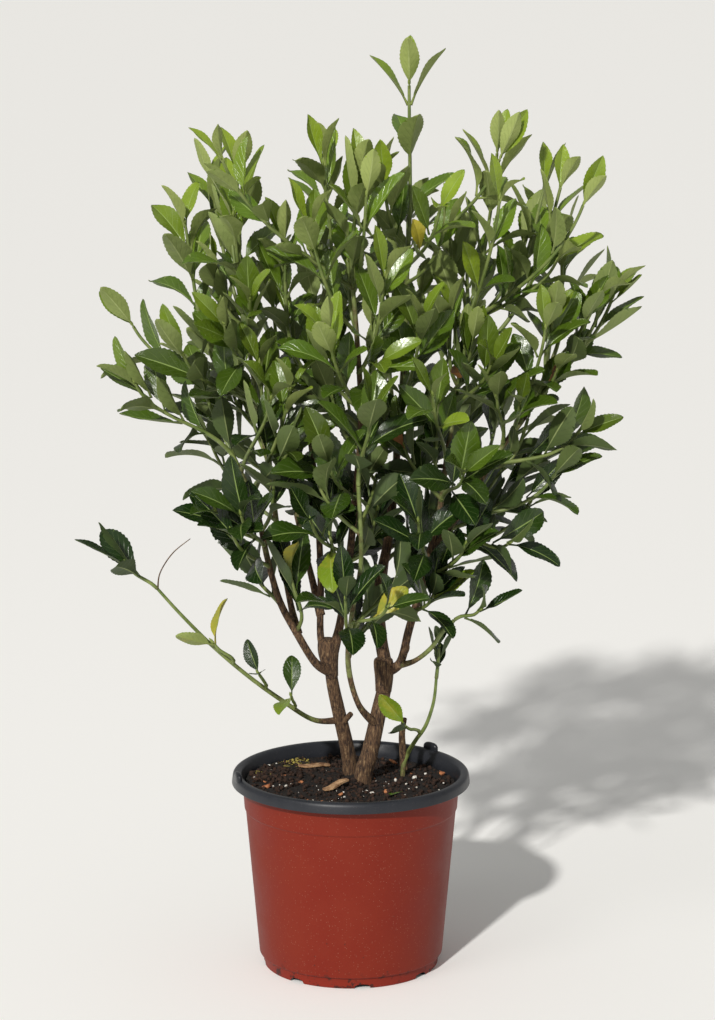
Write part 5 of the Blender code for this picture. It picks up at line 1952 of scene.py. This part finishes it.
@dataclass(frozen=True)
class Strew:
    """Loose matter of one kind over a round patch: its shape, how many, its sizes in millimetres, its
    thickness as a share of its length, and the patch's centre and radius in millimetres."""

    matter: Matter
    count: int
    sizes: tuple
    stout: tuple = (0.7, 0.8)
    centre: tuple = (0.0, 0.0)
    spread: float = 81.0


LITTER = {
    "peat_crumbs": (
        Strew(Matter.CRUMB, 1500, (0.9, 4.2)), Strew(Matter.STRAND, 130, (4.0, 12.0), (0.05, 0.05)),
        Strew(Matter.CURL, 150, (5.0, 16.0), (0.045, 0.045)),
        Strew(Matter.CRUMB, 260, (1.0, 4.6), centre=(-62.0, 22.0), spread=24.0),
        Strew(Matter.CURL, 60, (5.0, 15.0), (0.05, 0.05), centre=(-62.0, 22.0), spread=24.0),
    ),
    "perlite_grains": (
        Strew(Matter.GRAIN, 60, (0.7, 1.8)), Strew(Matter.GRAIN, 22, (1.0, 2.4), centre=(18.0, -30.0), spread=36.0),
        *(Strew(Matter.GRAIN, 1, (size, size), centre=centre, spread=0.5) for *centre, size in (
            (36, 14, 3.6), (51, 16, 4.6), (27, 5, 2.6), (17, -26, 4.0), (12, -20, 2.6), (-52, -9, 2.8),
            (-67, 46, 2.8), (-5, -34, 2.4), (44, -2, 2.2), (60, 30, 2.4), (-30, -44, 2.4),
        )),
    ),
    "moss_grains": (
        Strew(Matter.CRUMB, 80, (0.8, 2.6), centre=(-50.0, 70.0), spread=15.0),
        Strew(Matter.CRUMB, 50, (0.7, 1.8), centre=(-74.0, 24.0), spread=14.0),
        Strew(Matter.CURL, 24, (3.0, 7.0), (0.08, 0.08), centre=(-54.0, 62.0), spread=20.0),
    ),
    "bark_crumbs": (
        Strew(Matter.FLAKE, 26, (1.6, 4.4), (0.55, 0.25)),
        *(Strew(Matter.FLAKE, 1, (size, size), (0.6, 0.45), centre=centre, spread=0.5) for *centre, size in (
            (-67, -18, 6.5), (28, -24, 5.5), (73, 30, 6.0), (-40, 5, 4.0), (34, 62, 6.5), (-8, -30, 4.5),
        )),
    ),
    "dropped_leaf": (Strew(Matter.LEAF, 1, (17.0, 17.0), (0.32, 0.4), centre=(41.0, -27.0), spread=0.5),),
}


@dataclass
class Litter:
    """The loose matter on the compost."""

    grower: Grower
    soil: Soil
    finishes: dict
    sunk: float = 0.15

    def place(self, strew: Strew, rng: random.Random) -> Vector:
        """A place on the compost in the matter's patch."""
        while True:
            reach = strew.spread * math.sqrt(rng.random()) * MM
            turn = rng.uniform(0.0, math.tau)
            x = strew.centre[0] * MM + reach * math.cos(turn)
            y = strew.centre[1] * MM + reach * math.sin(turn)
            if math.hypot(x, y) < self.soil.radius - 2.0 * MM:
                return Vector((x, y, self.soil.height(x, y)))

    def build(self) -> None:
        """Builds one piece for each finish."""
        for name, strews in LITTER.items():
            rng = random.Random(f"{SEED} {name}")
            plan = Plan.empty()
            for strew in strews:
                for _ in range(strew.count):
                    size = linear_mix(*strew.sizes, rng.random() ** 2.2) * MM
                    tall = size * strew.stout[1]
                    point = self.place(strew, rng) + UP * tall * (0.5 - self.sunk)
                    turn = (rng.uniform(-0.35, 0.35), rng.uniform(-0.5, 0.5), rng.uniform(0.0, math.tau))
                    box = (size * strew.stout[0], size, tall)
                    plan.add_point(point, 0.0, 1.0, True, strew.matter.value, turn, box, 1.0, rng.random(), 0.0)
            finish, slot = self.finishes[name]
            hand_in(self.grower.grow(name, plan, finish, finish, 3, MM, 0.0), slot)


@dataclass(frozen=True)
class Studio:
    """The floor, the lights and the camera."""

    camera_place: tuple = (0.0053, -2.396, 0.839)
    camera_down: float = math.radians(11.08)
    focal_pixels: float = 3110.0
    picture_height: float = 1020.0
    sensor: float = 36.0

    def light(self, name: str, place: tuple, aim: tuple, size: float, power: float, colour: tuple) -> None:
        """Adds a soft square light.

        Args:
            name: the light's name.
            place: where it hangs.
            aim: the point that it faces.
            size: its width in metres.
            power: its power in watts.
            colour: its red, green and blue.
        """
        lamp = bpy.data.lights.new(name, "AREA")
        lamp.size = size
        lamp.energy = power
        lamp.color = colour
        obj = bpy.data.objects.new(name, lamp)
        bpy.context.scene.collection.objects.link(obj)
        obj.location = place
        obj.rotation_euler = (Vector(aim) - Vector(place)).to_track_quat("-Z", "Y").to_euler()

    def build(self) -> None:
        """Builds the studio."""
        mesh = bpy.data.meshes.new("studio_floor")
        reach = 60.0
        mesh.from_pydata([(-reach, -reach, 0), (reach, -reach, 0), (reach, reach, 0), (-reach, reach, 0)], [],
                         [(0, 1, 2, 3)])
        material, _, shader = new_material("studio_paint", 0.85)
        shader.inputs["Base Color"].default_value = tone(250, 250, 249)
        new_object("studio_floor", mesh, material)
        world = bpy.data.worlds.new("studio_air")
        world.use_nodes = True
        air = world.node_tree.nodes["Background"]
        air.inputs["Color"].default_value = (1.0, 0.99, 0.96, 1.0)
        air.inputs["Strength"].default_value = 0.36
        bpy.context.scene.world = world
        aim = (0.0, 0.0, 0.42)
        sun = bpy.data.lights.new("key_light", "SUN")
        sun.energy = 3.1
        sun.angle = math.radians(2.5)
        sun.color = (1.0, 0.975, 0.93)
        key = bpy.data.objects.new("key_light", sun)
        bpy.context.scene.collection.objects.link(key)
        key.rotation_euler = (Vector(aim) - Vector((-0.75, -2.0, 1.75))).to_track_quat("-Z", "Y").to_euler()
        self.light("soft_light", (-1.3, -1.4, 2.2), aim, 0.9, 7.0, (1.0, 0.98, 0.95))
        camera = bpy.data.cameras.new("camera")
        camera.sensor_fit = "VERTICAL"
        camera.sensor_height = self.sensor
        camera.lens = self.focal_pixels * self.sensor / self.picture_height
        obj = bpy.data.objects.new("camera", camera)
        bpy.context.scene.collection.objects.link(obj)
        obj.location = self.camera_place
        obj.rotation_euler = (math.pi / 2 - self.camera_down, 0.0, 0.0)
        bpy.context.scene.camera = obj
        bpy.context.scene.view_settings.view_transform = "Standard"


def dress_chips(effects: Effects, nodes: dict) -> None:
    """Gives the loose flakes of bark their finish."""
    finish = GroundFinish("bark_flake", tone(116, 78, 48), tone(196, 158, 118), 160.0, 0.8, 0.0006)
    material = finish.material(effects)
    for name in ("bark_chip_front", "bark_chip_back"):
        for slot in nodes[name].material_slots:
            slot.material = material
        LOG.info("%s: dressed", name)


def main() -> None:
    """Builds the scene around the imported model."""
    logging.basicConfig(level=logging.INFO, format="%(message)s")
    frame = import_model()
    effects = Effects(mottle_group(), speckle_group())
    Studio().build()
    outside = PlasticFinish("terracotta_plastic", tone(113, 24, 2), tone(124, 42, 20), 0.46, 0.14, tone(180, 134, 112),
                            0.8)
    inside = PlasticFinish("black_plastic", tone(33, 35, 40), tone(58, 60, 66), 0.28, 0.10, tone(96, 92, 90))
    Pot(outside.material(effects), inside.material(effects)).build()
    peat = GroundFinish("peat", tone(12, 8, 6), tone(35, 25, 19), 240.0, 0.95, 0.0012)
    soil = Soil(peat.material(effects))
    soil.build()
    leaf = LeafFinish().material(effects)
    crumbs = GroundFinish("crumbs", tone(12, 8, 6), tone(60, 38, 25), 300.0, 0.9, 0.0006)
    perlite = GroundFinish("perlite", tone(176, 168, 154), tone(236, 232, 224), 500.0, 0.8, 0.0004)
    moss = GroundFinish("moss", tone(74, 66, 26), tone(172, 156, 78), 400.0, 0.9, 0.0004)
    bark_crumb = GroundFinish("bark_crumb", tone(112, 52, 28), tone(196, 130, 86), 260.0, 0.85, 0.0005)
    Litter(Grower(litter_collection()), soil, {
        "peat_crumbs": (crumbs.material(effects), "soil"),
        "perlite_grains": (perlite.material(effects), "soil"),
        "moss_grains": (moss.material(effects), "soil"),
        "bark_crumbs": (bark_crumb.material(effects), "soil"),
        "dropped_leaf": (leaf, "leaf"),
    }).build()
    dress_chips(effects, frame["nodes"])
    grower = Grower(leaf_collection())
    bark = StemFinish("bark").material(effects)
    Wood(grower, bark, leaf).build()
    stem = StemFinish("green_stem", depth=0.0002).material(effects)
    Foliage(grower, stem, leaf, Room()).build()


if __name__ == "__main__":
    main()
